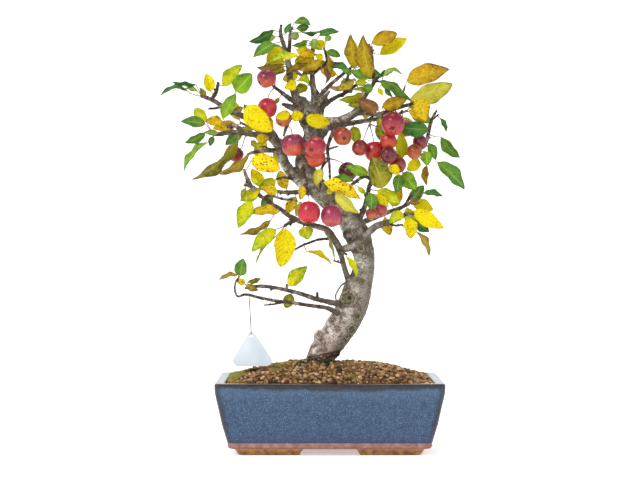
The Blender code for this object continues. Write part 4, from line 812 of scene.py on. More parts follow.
        "leaves": [(28, 411, 23.5, 448, 16, 2, -6, "bronze"), (20, 411, -1, 414, 9, 10, 18, "deep"),
                   (24, 404, 12, 411, 7, -1, -5, "green"), (28, 400, -2, 391, 7, 3, -4, "tan", -9),
                   (37, 384, 10, 377, 8, 2, -6, "lime")]},
    "shoot_upper_right": {
        "stems": [[(30, 366, -3, 3.3), (33, 371, -3, 3.1), (38, 380, -4, 2.5), (45, 390, -5, 2.2),
                   (50, 398, -6, 2), (54, 402, -7, 1.4)],
                  [(48, 395, -5, 1.7), (47, 418, 4, 1.4), (46, 434, 8, 1)],
                  [(50, 397, -6, 1.3), (60, 396, -10, 1.1), (68, 393, -14, 0.9)]],
        "leaves": [(45, 401, 36, 447, 20, -12, -20, "bronze"), (46, 438, 74, 449, 17, 4, 12, "amber"),
                   (55, 426, 84, 443, 15, 14, 22, "yellow"), (40, 399, 22, 409, 9, -9, -12, "green"),
                   (40, 396, 28, 395, 9, -14, -18, "lime"), (47, 388, 36, 390, 10, -20, -24, "green"),
                   (57, 400, 81, 402, 8, -14, -12, "pale", 6), (55, 397, 88, 375, 9, -20, -36, "green", 7),
                   (55, 403, 69, 408, 6, 2, 8, "deep"), (60, 389, 68, 380, 5, -14, -16, "deep"),
                   (53, 389, 58, 382, 6, -20, -22, "yellow"), (43, 384, 25, 388, 7, -22, -26, "olive"),
                   (33, 373, 20, 371, 8, -12, -17, "olive")]},
    "shoot_right_limb": {
        "stems": [[(37, 363, -6, 3), (46, 362, -9, 2.8), (52, 361, -11, 2.6), (60, 363, -13, 2.4),
                   (70, 367, -14, 2.2), (84, 371, -18, 2), (92, 373, -20, 1.3)],
                  [(74, 368, -15, 1.4), (79, 382, -21, 1.2), (82, 392, -26, 0.9)],
                  [(48, 362, -10, 1.6), (45, 355, -15, 1.2), (43, 349, -19, 1)]],
        "leaves": [(84, 397, 130, 410, 24, -28, -38, "amber"), (88, 378, 134, 394, 22, -20, -8, "primrose"),
                   (98, 378, 104, 354, 20, -28, -33, "gold"), (86, 366, 104, 353, 10, -25, -27, "gold"),
                   (88, 369, 101, 360, 8, -14, -12, "pale"), (57, 369, 85, 379, 15, -20, -26, "amber"),
                   (53, 366, 31, 377, 15, -18, -24, "russet"), (55, 357, 53, 348, 7, -12, -12, "lime")],
        "apples": [(69, 351, 12.5, -35, (0.1, 0.8, 0.5)), (64, 332, 9, -22.5, (-0.3, 0.1, 0.95)),
                   (49, 321, 11, -14, (-0.1, 0.1, 1)), (33, 325, 8.5, -27, (0.4, 0.3, 0.9)),
                   (83, 346, 9, 3, (-0.5, -0.3, 0.8))]},
    "shoot_right_middle": {
        "stems": [[(26, 238, -2, 5), (31, 247, -4, 4), (35, 253, -5, 3.2), (39, 264, -6, 2.6),
                   (42, 277, -7, 2.3), (44, 285, -7, 2.5), (52, 298, -6, 2.7), (62, 309, -3, 3),
                   (75, 317, 1, 2.6), (90, 322, 5, 2.4), (104, 331, 8, 2.2), (107, 340, 9, 2),
                   (109, 350, 10, 2), (113, 360, 10, 1.6), (116, 365, 10, 1.2)],
                  [(112, 356, 10, 1.3), (118, 361, 12, 0.9)],
                  [(47, 290, -7, 2.2), (38, 294, -14, 2), (28, 288, -20, 1.8), (20, 282, -24, 1.4)]],
        "leaves": [(106, 345, 76, 347, 18, -13, -19, "deep"), (121, 336.5, 141, 314, 12, 12, 22, "green"),
                   (117, 309, 146.5, 280, 14, 10, 24, "green"), (108, 330, 115, 312, 11, -2, -6, "green"),
                   (104, 321, 106, 306, 13, -15, -19, "fresh"), (105, 306, 105, 284.5, 9, 2, 0, "amber"),
                   (97, 312, 84, 301, 14, -10, -14, "yellow"), (79, 314, 77, 343, 14, -6, -13, "lemon"),
                   (58, 282, 46, 315, 27, -31, -38, "mottled"), (66, 306, 75, 296, 11, -38, -42, "yellow"),
                   (76, 296, 73, 277, 13, -26, -30, "green"), (80, 298, 94, 280, 18, -18, -24, "fresh"),
                   (52, 279, 77, 264, 15, -18, -22, "lime"), (45, 276, 46, 258, 14, -28, -30, "green"),
                   (42, 297, 18, 305.5, 11, -17, -22, "fresh"), (31, 288, 3, 292, 7, -21, -22, "green"),
                   (120, 357, 127, 342.5, 6, 14, 18, "deep"), (31, 283, 40, 275, 6, -25, -27, "lime"),
                   (51, 275, 64, 261, 10, -24, -27, "yellow")],
        "apples": [(98, 331, 8, -10, (0.2, 0.6, -0.7)), (92, 321, 8, -21, (-0.2, 0.7, -0.6)),
                   (64, 317, 9, -35, (0.2, 0.8, 0.3)), (74, 307, 9, -22, (-0.2, 0.8, 0.5)),
                   (56, 258, 7, -7, (-0.6, -0.3, 0.9)), (46, 253.5, 6.5, -17, (-0.4, 0.3, 0.9))]},
    "shoot_lower_right": {
        "stems": [[(54, 241.5, -16, 3.6), (60, 243.5, -15, 3.3), (66, 244.5, -14, 3), (75, 250, -13, 2.2),
                   (83, 253, -12, 2), (91, 254, -12, 1.4)],
                  [(66, 245, -14, 2.4), (75, 258, -10, 2), (82, 263, -8, 1.8), (88, 273, -6, 1.5),
                   (93, 272, -6, 1)],
                  [(64, 243, -15, 1.5), (72, 241, -17, 1.2), (79, 242, -18, 0.9)]],
        "leaves": [(102, 276, 123, 272.5, 9, -5, 2, "deep"), (92, 257, 124, 238, 17, -20, -30, "yellow"),
                   (92, 247, 108, 234, 12, -6, 0, "deep"), (86, 249, 88, 227, 16, -20, -26, "yellow"),
                   (95, 234, 108, 208, 8, -12, -14, "tan"), (79, 255, 65, 244, 13, -24, -30, "lime"),
                   (86, 266, 98, 265, 6, -13, -16, "russet"), (94, 252, 112, 241, 6, -11, -8, "russet")]},
    "shoot_hanging": {
        "stems": [[(8, 352, 1, 3), (4, 342, -6, 2.3), (0, 332, -10, 2), (-2, 323, -13, 1.8),
                   (0, 309, -19, 1.4), (1, 289, -25, 1.2), (3, 276, -29, 1.1)],
                  [(-2, 323.5, -12.5, 1.3), (9, 326.5, -17, 1)],
                  [(-1, 312, -18, 1.3), (-8, 303, -22, 1.3), (-9, 288, -26, 1.2), (-10, 278, -28, 0.9)]],
        "leaves": [(-6, 288, 34, 269, 18, -33, -38, "spotted"), (7, 278, 32, 254, 13, -39, -46, "primrose"),
                   (-9, 302, -14, 284, 12, -29, -33, "primrose"), (3, 281, -3, 275, 7, -34, -36, "primrose")],
        "apples": [(-15, 326, 11, -37.5, (0.4, 0.7, 0.3)), (-15, 315, 11, -17, (0.8, 0.1, 0.3)),
                   (14.5, 337.5, 10, -22, (-0.2, 0.9, 0.3)), (20, 299, 10, -1, (-0.5, -0.6, 0.8)),
                   (2.5, 251, 11.6, -35, (0, 0.2, 1))]},
    "shoot_trunk_spur": {
        "stems": [[(-27, 305, 0, 3.2), (-29, 299, -10, 2.6), (-28, 293, -17, 2.4), (-25, 283, -25, 2),
                   (-23, 275, -30, 1.6)]],
        "leaves": [(-29, 284, -31, 269, 9, -30, -32, "gold")],
        "apples": [(-22, 255, 12, -39, (0, 0.25, 1))]},
    "shoot_back_crown": {
        "stems": [[(-18, 352, 8, 5), (-14, 366, 18, 3.6), (-10, 380, 30, 2.8), (0, 392, 42, 2.3),
                   (14, 404, 52, 1.8), (26, 414, 58, 1.3)],
                  [(-10, 380, 30, 2.4), (-22, 396, 44, 2), (-38, 410, 52, 1.6), (-46, 420, 56, 1.1)]],
        "leaves": [(27, 418, 24, 444, 15, 58, 66, "yellow"), (32, 412, 44, 438, 17, 58, 50, "bronze"),
                   (30, 409, 58, 402, 14, 60, 68, "green"), (-46, 424, -64, 436, 14, 58, 64, "green"),
                   (-48, 419, -70, 414, 14, 56, 48, "lime"), (-24, 392, -38, 384, 12, 42, 36, "olive"),
                   (8, 404, -10, 410, 12, 50, 60, "gold"), (16, 400, 24, 384, 14, 50, 44, "fresh"),
                   (-36, 414, -22, 428, 13, 52, 46, "lime"), (-34, 406, -50, 398, 13, 54, 62, "yellow")]},
    "shoot_back_left": {
        "stems": [[(-24, 318, 8, 5), (-34, 324, 20, 3.4), (-50, 331, 34, 2.8), (-68, 339, 46, 2.2),
                   (-84, 347, 54, 1.6), (-96, 352, 58, 1.2)]],
        "leaves": [(-97, 355, -106, 378, 14, 60, 64, "lime"), (-100, 350, -126, 346, 13, 60, 52, "gold"),
                   (-92, 344, -112, 328, 14, 58, 66, "green"), (-70, 334, -80, 316, 14, 48, 56, "yellow"),
                   (-80, 352, -92, 372, 14, 54, 48, "rimmed"), (-50, 326, -58, 308, 13, 38, 44, "lime"),
                   (-62, 342, -68, 362, 12, 44, 50, "amber")]},
    "shoot_back_right": {
        "stems": [[(-14, 342, 10, 5), (0, 347, 24, 3.6), (20, 351, 38, 3), (44, 355, 50, 2.4),
                   (66, 359, 58, 1.8), (84, 365, 62, 1.3)]],
        "leaves": [(86, 368, 108, 380, 16, 62, 70, "gold"), (88, 364, 112, 352, 15, 62, 54, "fresh"),
                   (80, 358, 92, 338, 15, 62, 68, "lime"), (62, 362, 74, 380, 14, 58, 50, "yellow"),
                   (54, 352, 58, 332, 14, 54, 62, "olive"), (68, 354, 80, 346, 12, 56, 46, "green"),
                   (26, 348, 30, 328, 13, 42, 36, "lime"), (36, 356, 44, 374, 13, 48, 56, "rimmed")]},
    "shoot_back_low_right": {
        "stems": [[(28, 236, 6, 5), (36, 244, 20, 3.4), (50, 250, 34, 2.8), (68, 257, 46, 2.2),
                   (86, 264, 54, 1.5)]],
        "leaves": [(90, 266, 112, 258, 15, 56, 62, "yellow"), (88, 268, 102, 284, 14, 54, 48, "green"),
                   (84, 260, 92, 240, 14, 56, 64, "lime"), (68, 262, 78, 282, 15, 48, 42, "gold"),
                   (48, 254, 54, 274, 13, 34, 40, "fresh"), (60, 250, 66, 230, 13, 44, 52, "spotted")]},
    "shoot_back_low_left": {
        "stems": [[(2, 270, 8, 5), (-8, 275, 22, 3.4), (-28, 277, 36, 2.8), (-50, 277, 48, 2.2),
                   (-70, 281, 56, 1.5)]],
        "leaves": [(-74, 281, -96, 268, 15, 58, 66, "lime"), (-72, 284, -84, 302, 14, 56, 50, "yellow"),
                   (-62, 274, -72, 254, 14, 54, 60, "green"), (-46, 281, -54, 300, 14, 48, 54, "gold"),
                   (-22, 281, -30, 300, 12, 34, 40, "olive"), (-36, 272, -46, 252, 13, 42, 36, "spotted")]},
}
leaf_rows = sum(len(shoot["leaves"]) for shoot in SHOOTS.values())
print(len(SHOOTS), "shoots with", leaf_rows, "leaves")

# %% [markdown]
# A crabapple leaf is a pointed oval with a toothed edge. It is folded a little along the rib, arched from
# base to tip, puckered between its side ribs and waved at the rim. It could be a flat card with a picture
# on it, but here the form is real: a grid of points along and across the blade is lifted by a few
# formulas, and a second layer a third of a millimetre below closes it. The base, tip, turn and outline are
# those of the solid leaf.

# %% Leaf blades
LEAF_FOLD = 0.30
LEAF_ARCH = 0.07
FULL_WIDTH_SHARE = 0.46
SHORTEST_STALK = 3.5
STEM_TIP = 2.0
BLADE_THICKNESS = 0.34
TOOTH_LENGTH = 1.5
TOOTH_REACH = 0.085
# Lines across the blade, from edge to edge in shares of the half width; close ones shape the rib.
ACROSS = np.array([-1, -0.86, -0.6, -0.34, -0.12, -0.035, 0.035, 0.12, 0.34, 0.6, 0.86, 1])
SIDE_RIBS = 8
RIB_SLANT = 0.28
PUCKER = 0.075
EDGE_WAVE = 0.17
TOOTH_LEAN = 0.22
RIB_HEIGHT = 0.45
SLENDER_BELOW = 0.58


def nearest_on_stems(place, stems):
    """The point on the straight runs of the stems that is nearest to a place."""
    best = None
    for rows in stems:
        knots = [seen(x, z, y) for x, z, y, _ in rows]
        for start, end in zip(knots, knots[1:]):
            run = end - start
            last = 1 - min(0.5, STEM_TIP / run.length)
            share = max(0.0, min(last, (place - start).dot(run) / run.length_squared))
            spot = start + run * share
            if best is None or (spot - place).length < (best - place).length:
                best = spot
    return best


def leaf_frame(row, index, stems):
    """Where a leaf's stalk starts, its base and tip, the way it faces and its full width."""
    base_x, base_z, tip_x, tip_z, width, base_y, tip_y = row[:7]
    base, tip = seen(base_x, base_z, base_y), seen(tip_x, tip_z, tip_y)
    root = nearest_on_stems(base, stems)
    if (base - root).length < SHORTEST_STALK:
        base = root + (tip - root).normalized() * SHORTEST_STALK
    along = (tip - base).normalized()
    full = max(width, FULL_WIDTH_SHARE * (tip - base).length)
    roll = math.acos(min(1.0, width / full)) * (1 if index % 2 else -1) + 0.25 * (index % 3 - 1)
    facing = Vector((0, -1, 0))
    normal = (facing - along * facing.dot(along)).normalized()
    across = along.cross(normal)
    upward = across if across.z > 0 else -across
    facing = Matrix.Rotation(roll, 3, along) @ normal
    return root, base, tip, facing, along.cross(facing), upward, full


def blade(base, tip, facing, side, upward, width, bend, draw):
    """Points, faces and blade places of one closed, toothed, puckered leaf blade."""
    length = (tip - base).length
    rows = max(12, 2 * int(length / TOOTH_LENGTH) + 1)
    u = (np.arange(rows) / (rows - 1))[:, None]
    v = ACROSS[None, :]
    hump = 4 * u * (1 - u)
    base, tip, facing, side, upward = (np.array(item) for item in (base, tip, facing, side, upward))
    tooth = np.where(np.arange(rows) % 2, 1.0, -0.7)[:, None] * TOOTH_REACH * hump ** 0.3
    fullness = 0.85 if width < SLENDER_BELOW * length else 0.64
    reach = 0.5 * width * np.sin(math.pi * np.clip(u, 0.003, 0.997) ** 0.8) ** fullness
    reach = np.maximum(reach, 0.3)
    phase, curl, cup = draw.uniform(0, 6.3), draw.uniform(-0.5, 1.0), draw.uniform(0.7, 1.3)
    spread = np.abs(v)
    lateral = reach * v * (1 + tooth * (spread > 0.99)) * (1 - 0.05 * cup)
    pucker = np.cos(2 * math.pi * ((u - RIB_SLANT * spread) * SIDE_RIBS)) * spread * (1 - spread) * 4
    rise = LEAF_FOLD * cup * reach * spread ** 1.25
    rise = rise + PUCKER * reach * pucker * np.minimum(1, hump * 2)
    rise = rise + EDGE_WAVE * reach * np.sin(u * 13 + phase + np.sign(v)) * spread ** 2.2
    rise = rise - 0.05 * length * curl * np.clip(u - 0.62, 0, 1) ** 2 * 6
    forward = np.where(np.arange(rows) % 2, TOOTH_LEAN, 0.0)[:, None] * TOOTH_LENGTH
    forward = forward * (spread > 0.99) * (hump > 0.1)
    middle = (base + (tip - base) * u + facing * (LEAF_ARCH * length * hump) + upward * (bend * hump))
    ahead = (tip - base) / length
    top = (middle[:, None, :] + side * lateral[:, :, None] + facing * rise[:, :, None]
           + ahead * forward[:, :, None])
    rib = RIB_HEIGHT * np.exp(-(v / 0.05) ** 2) * (1 - 0.7 * u)
    low = top - facing * (BLADE_THICKNESS + rib)[:, :, None]
    columns = len(ACROSS)
    place = np.zeros((rows, columns, 3))
    place[:, :, 0] = u
    place[:, :, 1] = v
    place[:, :, 2] = draw.random()

    def at(layer, row, column):
        return (layer * rows + row) * columns + column

    faces = []
    for row in range(rows - 1):
        for column in range(columns - 1):
            faces.append((at(0, row, column), at(0, row, column + 1), at(0, row + 1, column + 1),
                          at(0, row + 1, column)))
            faces.append((at(1, row, column), at(1, row + 1, column), at(1, row + 1, column + 1),
                          at(1, row, column + 1)))
        for column, turn in ((0, 1), (columns - 1, -1)):
            rim = (at(0, row, column), at(0, row + 1, column), at(1, row + 1, column), at(1, row, column))
            faces.append(rim[::turn])
    for row, turn in ((0, -1), (rows - 1, 1)):
        for column in range(columns - 1):
            rim = (at(0, row, column), at(0, row, column + 1), at(1, row, column + 1), at(1, row, column))
            faces.append(rim[::turn])
    points = np.concatenate([top.reshape(-1, 3), low.reshape(-1, 3)])
    places = np.concatenate([place.reshape(-1, 3)] * 2)
    return points, faces, places


draw = random.Random(3)
trial = blade(Vector((0, 0, 0)), Vector((40, 0, 0)), Vector((0, 0, 1)), Vector((0, 1, 0)),
              Vector((0, 1, 0)), 20, 0, draw)
print("a 40 mm leaf has", len(trial[1]), "faces")

# %% [markdown]
# A leaf finish reads three things that each leaf's points carry: the place on the blade, the two colours of
# its stage and its marks. The rib is a thin line at the middle, the side ribs are a saw-tooth that slants
# forward, the colour runs from the first to the second with some cloud in it, and spots are scattered
# cells.

# %% Leaf finish
leaf_finish = Finish("autumn leaf", Specular_IOR_Level=0.12)
u, v, _ = leaf_finish.parts(leaf_finish.painted("blade"))
spots, burn, ribs = leaf_finish.parts(leaf_finish.painted("leaf_marks"))
early, late = leaf_finish.painted("early"), leaf_finish.painted("late")
spot = leaf_finish.place()
spread = abs(v)
saw = leaf_finish.math("FRACT", (u - spread * RIB_SLANT) * SIDE_RIBS + 0.5)
side_rib = leaf_finish.rise(abs(saw - 0.5), 0.10, 0.02) * (1 - spread * 0.6)
rib = leaf_finish.math("MAXIMUM", leaf_finish.rise(spread, 0.075, 0.02), side_rib * 0.7)
cloudy = leaf_finish.cloud(spot, 0.2, 4, 0.6)
net = leaf_finish.node("ShaderNodeTexVoronoi", {"feature": "DISTANCE_TO_EDGE"},
                       {"Vector": spot, "Scale": 0.62})
net = leaf_finish.rise(net, 0.16, 0.03)
share = leaf_finish.rise(u * 0.45 + spread * 0.35 + (cloudy - 0.5) * 1.5, 0.12, 0.72)
ground = leaf_finish.blend(share, early, late)
fleck = leaf_finish.cloud(spot, 1.6, 3, 0.6)
ground = leaf_finish.blend(leaf_finish.rise(fleck, 0.35, 0.75) * 0.35, ground, colour(255, 236, 150),
                           "SOFT_LIGHT")
ground = leaf_finish.blend(net * 0.16, ground, colour(120, 118, 60), "MULTIPLY")
between = leaf_finish.rise(abs(saw - 0.5), 0.10, 0.30) * leaf_finish.rise(spread, 0.04, 0.16)
ground = leaf_finish.blend((1 - between) * 0.16, ground, colour(120, 110, 50), "MULTIPLY")
seed_cells = leaf_finish.cells(spot, 0.30) + (fleck - 0.5) * 0.3
where_spots = leaf_finish.rise(leaf_finish.cloud(spot, 0.12, 2), 0.42, 0.52)
spotted = leaf_finish.rise(seed_cells, 0.40, 0.24) * where_spots
spotted = leaf_finish.math("MINIMUM", spotted * spots * 1.4, 1.0)
ground = leaf_finish.blend(spotted, ground, colour(124, 66, 24))
edge = leaf_finish.rise(spread + (cloudy - 0.5) * 0.9 + (u ** 4) * 0.4, 0.82, 1.15) * burn * 1.5
ground = leaf_finish.blend(leaf_finish.math("MINIMUM", edge, 1.0), ground, colour(98, 58, 28))
leaf_finish.feed(Base_Color=leaf_finish.blend(rib * ribs * 0.8, ground, colour(222, 212, 130)))
leaf_finish.feed(Roughness=0.5 + fleck * 0.2)
leaf_finish.relief(fleck * 0.25 - rib * 0.6 - net * 0.3 + between * 0.3, 0.5, 0.8)
print("leaf finish has", len(leaf_finish.tree.nodes), "nodes")

# %% [markdown]
# Young twigs are smooth, purple brown and dotted with pale pores, and older ones are grey like the trunk.
# Thickness tells the age, so it drives the colour. The leaf stalks and the long fruit stalks share a
# second finish, green to wine red.

# %% Twig and stalk finishes
twig = Finish("twig bark", Roughness=0.7, Specular_IOR_Level=0.3)
along, angle, radius = twig.parts(twig.painted("growth"))
turned = twig.wrapped(angle, radius, along)
place = twig.place()
old = twig.rise(radius + (twig.cloud(place, 0.08, 3) - 0.5) * 2, 1.3, 3.6)
fibres = twig.cloud(turned, 0.8, 4, 0.65)
base_colour = twig.blend(old, colour(66, 48, 42), colour(104, 92, 76))
shaded = twig.blend(twig.rise(fibres, 0.58, 0.38) * 0.85, base_colour, colour(34, 26, 22))
light = twig.blend(twig.rise(twig.cloud(place, 0.14, 4), 0.48, 0.66) * 0.65, shaded, colour(164, 152, 134))
pores = twig.rise(twig.cells(turned, 0.55), 0.22, 0.10)
twig.feed(Base_Color=twig.blend(pores * 0.5, light, colour(190, 170, 146)))
twig.feed(Roughness=0.6 + fibres * 0.3)
twig.relief(fibres * 0.7 + pores * 0.5, 0.8, 0.9)

stalk = Finish("stalk", Roughness=0.5)
tone = stalk.painted("early")
place = stalk.place()
stalk.feed(Base_Color=stalk.blend(stalk.rise(stalk.cloud(place, 0.35, 3), 0.40, 0.65) * 0.6, tone,
                                  colour(112, 62, 48)))
stalk.relief(stalk.cloud(place, 1.2, 2), 0.2, 0.5)
print("twig finish has", len(twig.tree.nodes), "nodes")

# %% [markdown]
# Now a shoot can be put together. Its twigs come first, with small pointed buds along them, then each leaf
# with a thin stalk that leaves the twig, bends and runs into the rib, and last the fruit stalks, which hang
# in a curve from the twig to the top of each apple.

# %% Grow the shoots
STALK_RADIUS = 0.5
BUD_EVERY = 13.0
STALK_GREEN = (150, 150, 70)
STALK_RED = (150, 74, 56)
APPLE_TOP = 0.66
APPLE_GAP = 0.3
UNDERSIDE_GREY = (150, 160, 120)
GREY_SHARE = 0.28
GREEN_STALKS = 0.55
GROUND_LIGHT = 0.72
BLUSH_LIGHT = 0.62


def light_of(tone, share=1.0):
    return tuple(value * share for value in colour(*tone)[:3])


def add_stalk(shoot, route, radii, tone):
    rows = [(*spot, radius) for spot, radius in zip(route, radii)]
    points, faces, growth = stem(rows, 7, 1.6, 0.04)
    shoot.add(points, faces, 2, growth=growth, early=light_of(tone))


def add_buds(shoot, rows, draw):
    """Short pointed buds that lean forward along a twig."""
    line = smooth_line(rows, 1.0)
    ahead, across, up = ring_frames(line)
    spot = draw.uniform(4, BUD_EVERY)
    while spot < len(line) - 2:
        index = int(spot)
        angle = draw.uniform(0, 2 * math.pi)
        out = across[index] * math.cos(angle) + up[index] * math.sin(angle)
        radius = line[index, 3]
        foot = line[index, :3] + out * radius * 0.5
        size = draw.uniform(0.8, 1.6)
        tip = foot + out * (radius * 0.5 + 1.1 * size) + ahead[index] * 1.9 * size
        middle = (foot * 0.5 + tip * 0.5) + out * 0.35
        points, faces, growth = stem([(*foot, 0.95 * size), (*middle, 0.9 * size), (*tip, 0.22)], 7, 0.8)
        growth[:, 2] = 0.8
        shoot.add(points, faces, 0, growth=growth)
        spot += draw.uniform(0.6, 1.4) * BUD_EVERY


def add_leaf(shoot, row, index, stems, draw):
    root, base, tip, facing, side, upward, width = leaf_frame(row, index, stems)
    stage = STAGES[row[7]]
    bend = row[8] if len(row) > 8 else 0.0
    points, faces, places = blade(base, tip, facing, side, upward, width, bend, draw)
    bright = draw.uniform(0.88, 1.12)
    half = len(points) // 2
    early, late = (np.tile(light_of(tone, bright), (2 * half, 1)) for tone in stage[:2])
    grey = np.array(light_of(UNDERSIDE_GREY))
    for tones in (early, late):
        tones[half:] = tones[half:] * (1 - GREY_SHARE) + grey * GREY_SHARE
    shoot.add(points, faces, 1, blade=places, early=early, late=late, leaf_marks=stage[2:])
    into = base + (tip - base) * 0.04 - facing * BLADE_THICKNESS * 0.7
    drop = Vector((0, 0, -0.06 * (base - root).length))
    tone = STALK_GREEN if draw.random() < GREEN_STALKS else STALK_RED
    add_stalk(shoot, [root, root.lerp(base, 0.5) + drop + facing * 0.3, base - facing * 0.2, into],
              [STALK_RADIUS * 1.5, STALK_RADIUS, STALK_RADIUS, STALK_RADIUS * 0.7], tone)


def add_fruit_stalk(shoot, row, stems):
    x, z, radius, y, lean = row
    centre, lean = seen(x, z, y), Vector(lean).normalized()
    end = centre + lean * (APPLE_TOP * radius + APPLE_GAP)
    knee = centre + lean * (1.3 * radius)
    root = nearest_on_stems(centre + lean * (1.8 * radius), stems)
    add_stalk(shoot, [root, knee.lerp(root, 0.45) + Vector((0, 0, 0.8)), knee, end],
              [STALK_RADIUS * 1.9, STALK_RADIUS * 1.1, STALK_RADIUS, STALK_RADIUS * 1.4], (128, 84, 52))


total = 0
for name, rows in SHOOTS.items():
    draw = random.Random(name)
    shoot = Skin()
    for knots in rows["stems"]:
        real = real_rows(knots)
        points, faces, growth = stem(real, 12 if knots[0][3] > 2.4 else 10, 1.3, 0.10, draw.random())
        shoot.add(points, faces, 0, growth=growth)
        add_buds(shoot, real, draw)
    for index, row in enumerate(rows["leaves"]):
        add_leaf(shoot, row, index, rows["stems"], draw)
    for row in rows.get("apples", []):
        add_fruit_stalk(shoot, row, rows["stems"])
    grown_shoot = shoot.piece(name + "_grown", [twig, leaf_finish, stalk], sharp=50)
    dress(grown_shoot, "autumn_leaf", name)
    total += triangles(grown_shoot)
print("shoots grown, triangles in all:", total)

# %% [markdown]
# A crabapple fruit is a little apple: shoulders round a stalk hollow, a narrower lower half with five faint
# ribs, and at the end the dried flower, a ring of brown sepals in a shallow cup. It could be a scaled
# ball, but the hollows and ribs are what the eye reads. The turned profile of the solid is rounded by a
# smooth curve, given ribs, and closed at both poles.

# %% Apple shape
APPLE_PROFILE = [(0, 0.66), (0.17, 0.66), (0.47, 0.91), (0.86, 0.60), (1.0, -0.04), (0.80, -0.65),
                 (0.34, -0.92), (0, -0.78)]
APPLE_AROUND = 40
SEPALS = 5


def apple_profile():
    rows = [(across, 0, up, 1) for across, up in APPLE_PROFILE]
    line = smooth_line(rows, 0.075)[:, (0, 2)]
    return line[line[:, 0] > 0.012]


def turned_apple(radius, draw):
    """Points, faces and skin places of an apple of a radius, with its stalk end up."""
    profile = apple_profile()
    rings, sides = len(profile), APPLE_AROUND
    angle = np.arange(sides) / sides * 2 * math.pi
    skew, phase = draw.uniform(-0.03, 0.03), draw.uniform(0, 6.3)
    fade = np.clip(0.4 - profile[:, 1:2], 0, 1)
    ribs = 1 + 0.025 * fade * np.cos(SEPALS * angle + phase) + 0.012 * np.cos(2 * angle + phase)
    across = profile[:, :1] * ribs * radius
    up = profile[:, 1:2] * radius + skew * radius * np.cos(angle + phase) * profile[:, :1]
    points = np.stack([across * np.cos(angle), across * np.sin(angle), up + 0 * angle], -1)
    skin_place = np.zeros((rings, sides, 3))
    skin_place[:, :, 0] = angle
    skin_place[:, :, 1] = profile[:, 1:2]
    skin_place[:, :, 2] = np.arange(rings)[:, None] / (rings - 1)
    faces = [(row * sides + k, (row + 1) * sides + k, (row + 1) * sides + (k + 1) % sides,
              row * sides + (k + 1) % sides) for row in range(rings - 1) for k in range(sides)]
    faces.append(tuple(range(sides)))
    faces.append(tuple((rings - 1) * sides + k for k in reversed(range(sides))))
    return points.reshape(-1, 3), faces, skin_place.reshape(-1, 3)


def sepal(angle, radius, draw):
    """One dried sepal: a thin, curled, pointed tongue that stands on the flower end."""
    rows, length, width = 6, 0.36 * radius, 0.13 * radius
    out = np.array((math.cos(angle), math.sin(angle), 0))
    side = np.array((-math.sin(angle), math.cos(angle), 0))
    curl = draw.uniform(0.5, 1.5)
    points = []
    for layer in (0, 1):
        for row in range(rows):
            t = row / (rows - 1)
            spot = out * (0.13 * radius + length * math.sin(t * curl) * 0.6)
            spot = spot + np.array((0, 0, -0.80 * radius - length * math.cos(t * 0.9) * t * 0.75))
            spot = spot + np.array((0, 0, layer * 0.25))
            half = width * (1 - t ** 1.5) + 0.05
            points += [spot - side * half, spot + side * half]
    faces = []
    for row in range(rows - 1):
        a, b = 2 * row, 2 * (rows + row)
        faces += [(a, a + 1, a + 3, a + 2), (b, b + 2, b + 3, b + 1), (a, a + 2, b + 2, b),
                  (a + 1, b + 1, b + 3, a + 3)]
    last = 2 * (rows - 1)
    faces += [(0, 2 * rows, 2 * rows + 1, 1), (last, last + 1, last + 2 * rows + 1, last + 2 * rows)]
    return points, faces


print("apple profile has", len(apple_profile()), "rings")

# %% [markdown]
# The skin is waxy and streaked from stalk to flower end, redder on the sunny side, with tiny pale pores. Each
# fruit has its own ground colour and blush, from green through orange to plum. The streaks come from
# noise that is stretched along the fruit, and the blush from a cloud plus the side that faces up.

# %% Apple finish
apple_skin = Finish("apple skin", Specular_IOR_Level=0.35, Coat_Roughness=0.16)
turn, level, ring = apple_skin.parts(apple_skin.painted("skin_place"))
ground, blush = apple_skin.painted("early"), apple_skin.painted("late")
place = apple_skin.place()
around = apple_skin.wrapped(turn, 3, level * 0.35)
streak = apple_skin.cloud(around, 2.6, 4, 0.6)
cloudy = apple_skin.cloud(place, 0.09, 3)
lit = apple_skin.parts(apple_skin.painted("lit"))[0]
much = apple_skin.rise(streak * 0.4 + cloudy * 0.7 + lit * 0.5, 0.18, 0.66)
flesh = apple_skin.blend(much, ground, blush)
flesh = apple_skin.blend(apple_skin.rise(streak, 0.52, 0.70) * 0.36, flesh, colour(96, 14, 28))
hollow = apple_skin.rise(level, 0.86, 0.70) * apple_skin.rise(ring, 0.20, 0.08)
flesh = apple_skin.blend(hollow * 0.8, flesh, colour(84, 40, 24))
cup = apple_skin.rise(ring, 0.94, 0.985)
flesh = apple_skin.blend(cup * 0.85, flesh, colour(40, 24, 18))
pores = apple_skin.rise(apple_skin.cells(place, 0.62), 0.16, 0.08)
apple_skin.feed(Base_Color=apple_skin.blend(pores * 0.55, flesh, colour(244, 206, 160)))
apple_skin.feed(Roughness=0.24 + apple_skin.cloud(place, 0.4, 3) * 0.22)
apple_skin.feed(Coat_Weight=0.22 - cup * 0.2)
apple_skin.relief(apple_skin.cloud(place, 0.5, 3) * 0.5 + pores * 0.25, 0.25, 0.5)

dry_flower = Finish("dried flower end", Roughness=0.9)
place = dry_flower.place()
dry_flower.feed(Base_Color=dry_flower.ramp(dry_flower.cloud(place, 0.8, 3), (0.35, colour(26, 18, 14)),
                                           (0.65, colour(92, 66, 40))))
print("apple finish has", len(apple_skin.tree.nodes), "nodes")

# %% [markdown]
# One table gives the two colours of each fruit in the order of the shoots' tables. Every fruit is its own
# piece and lies exactly where its solid does: the same centre, the same lean.

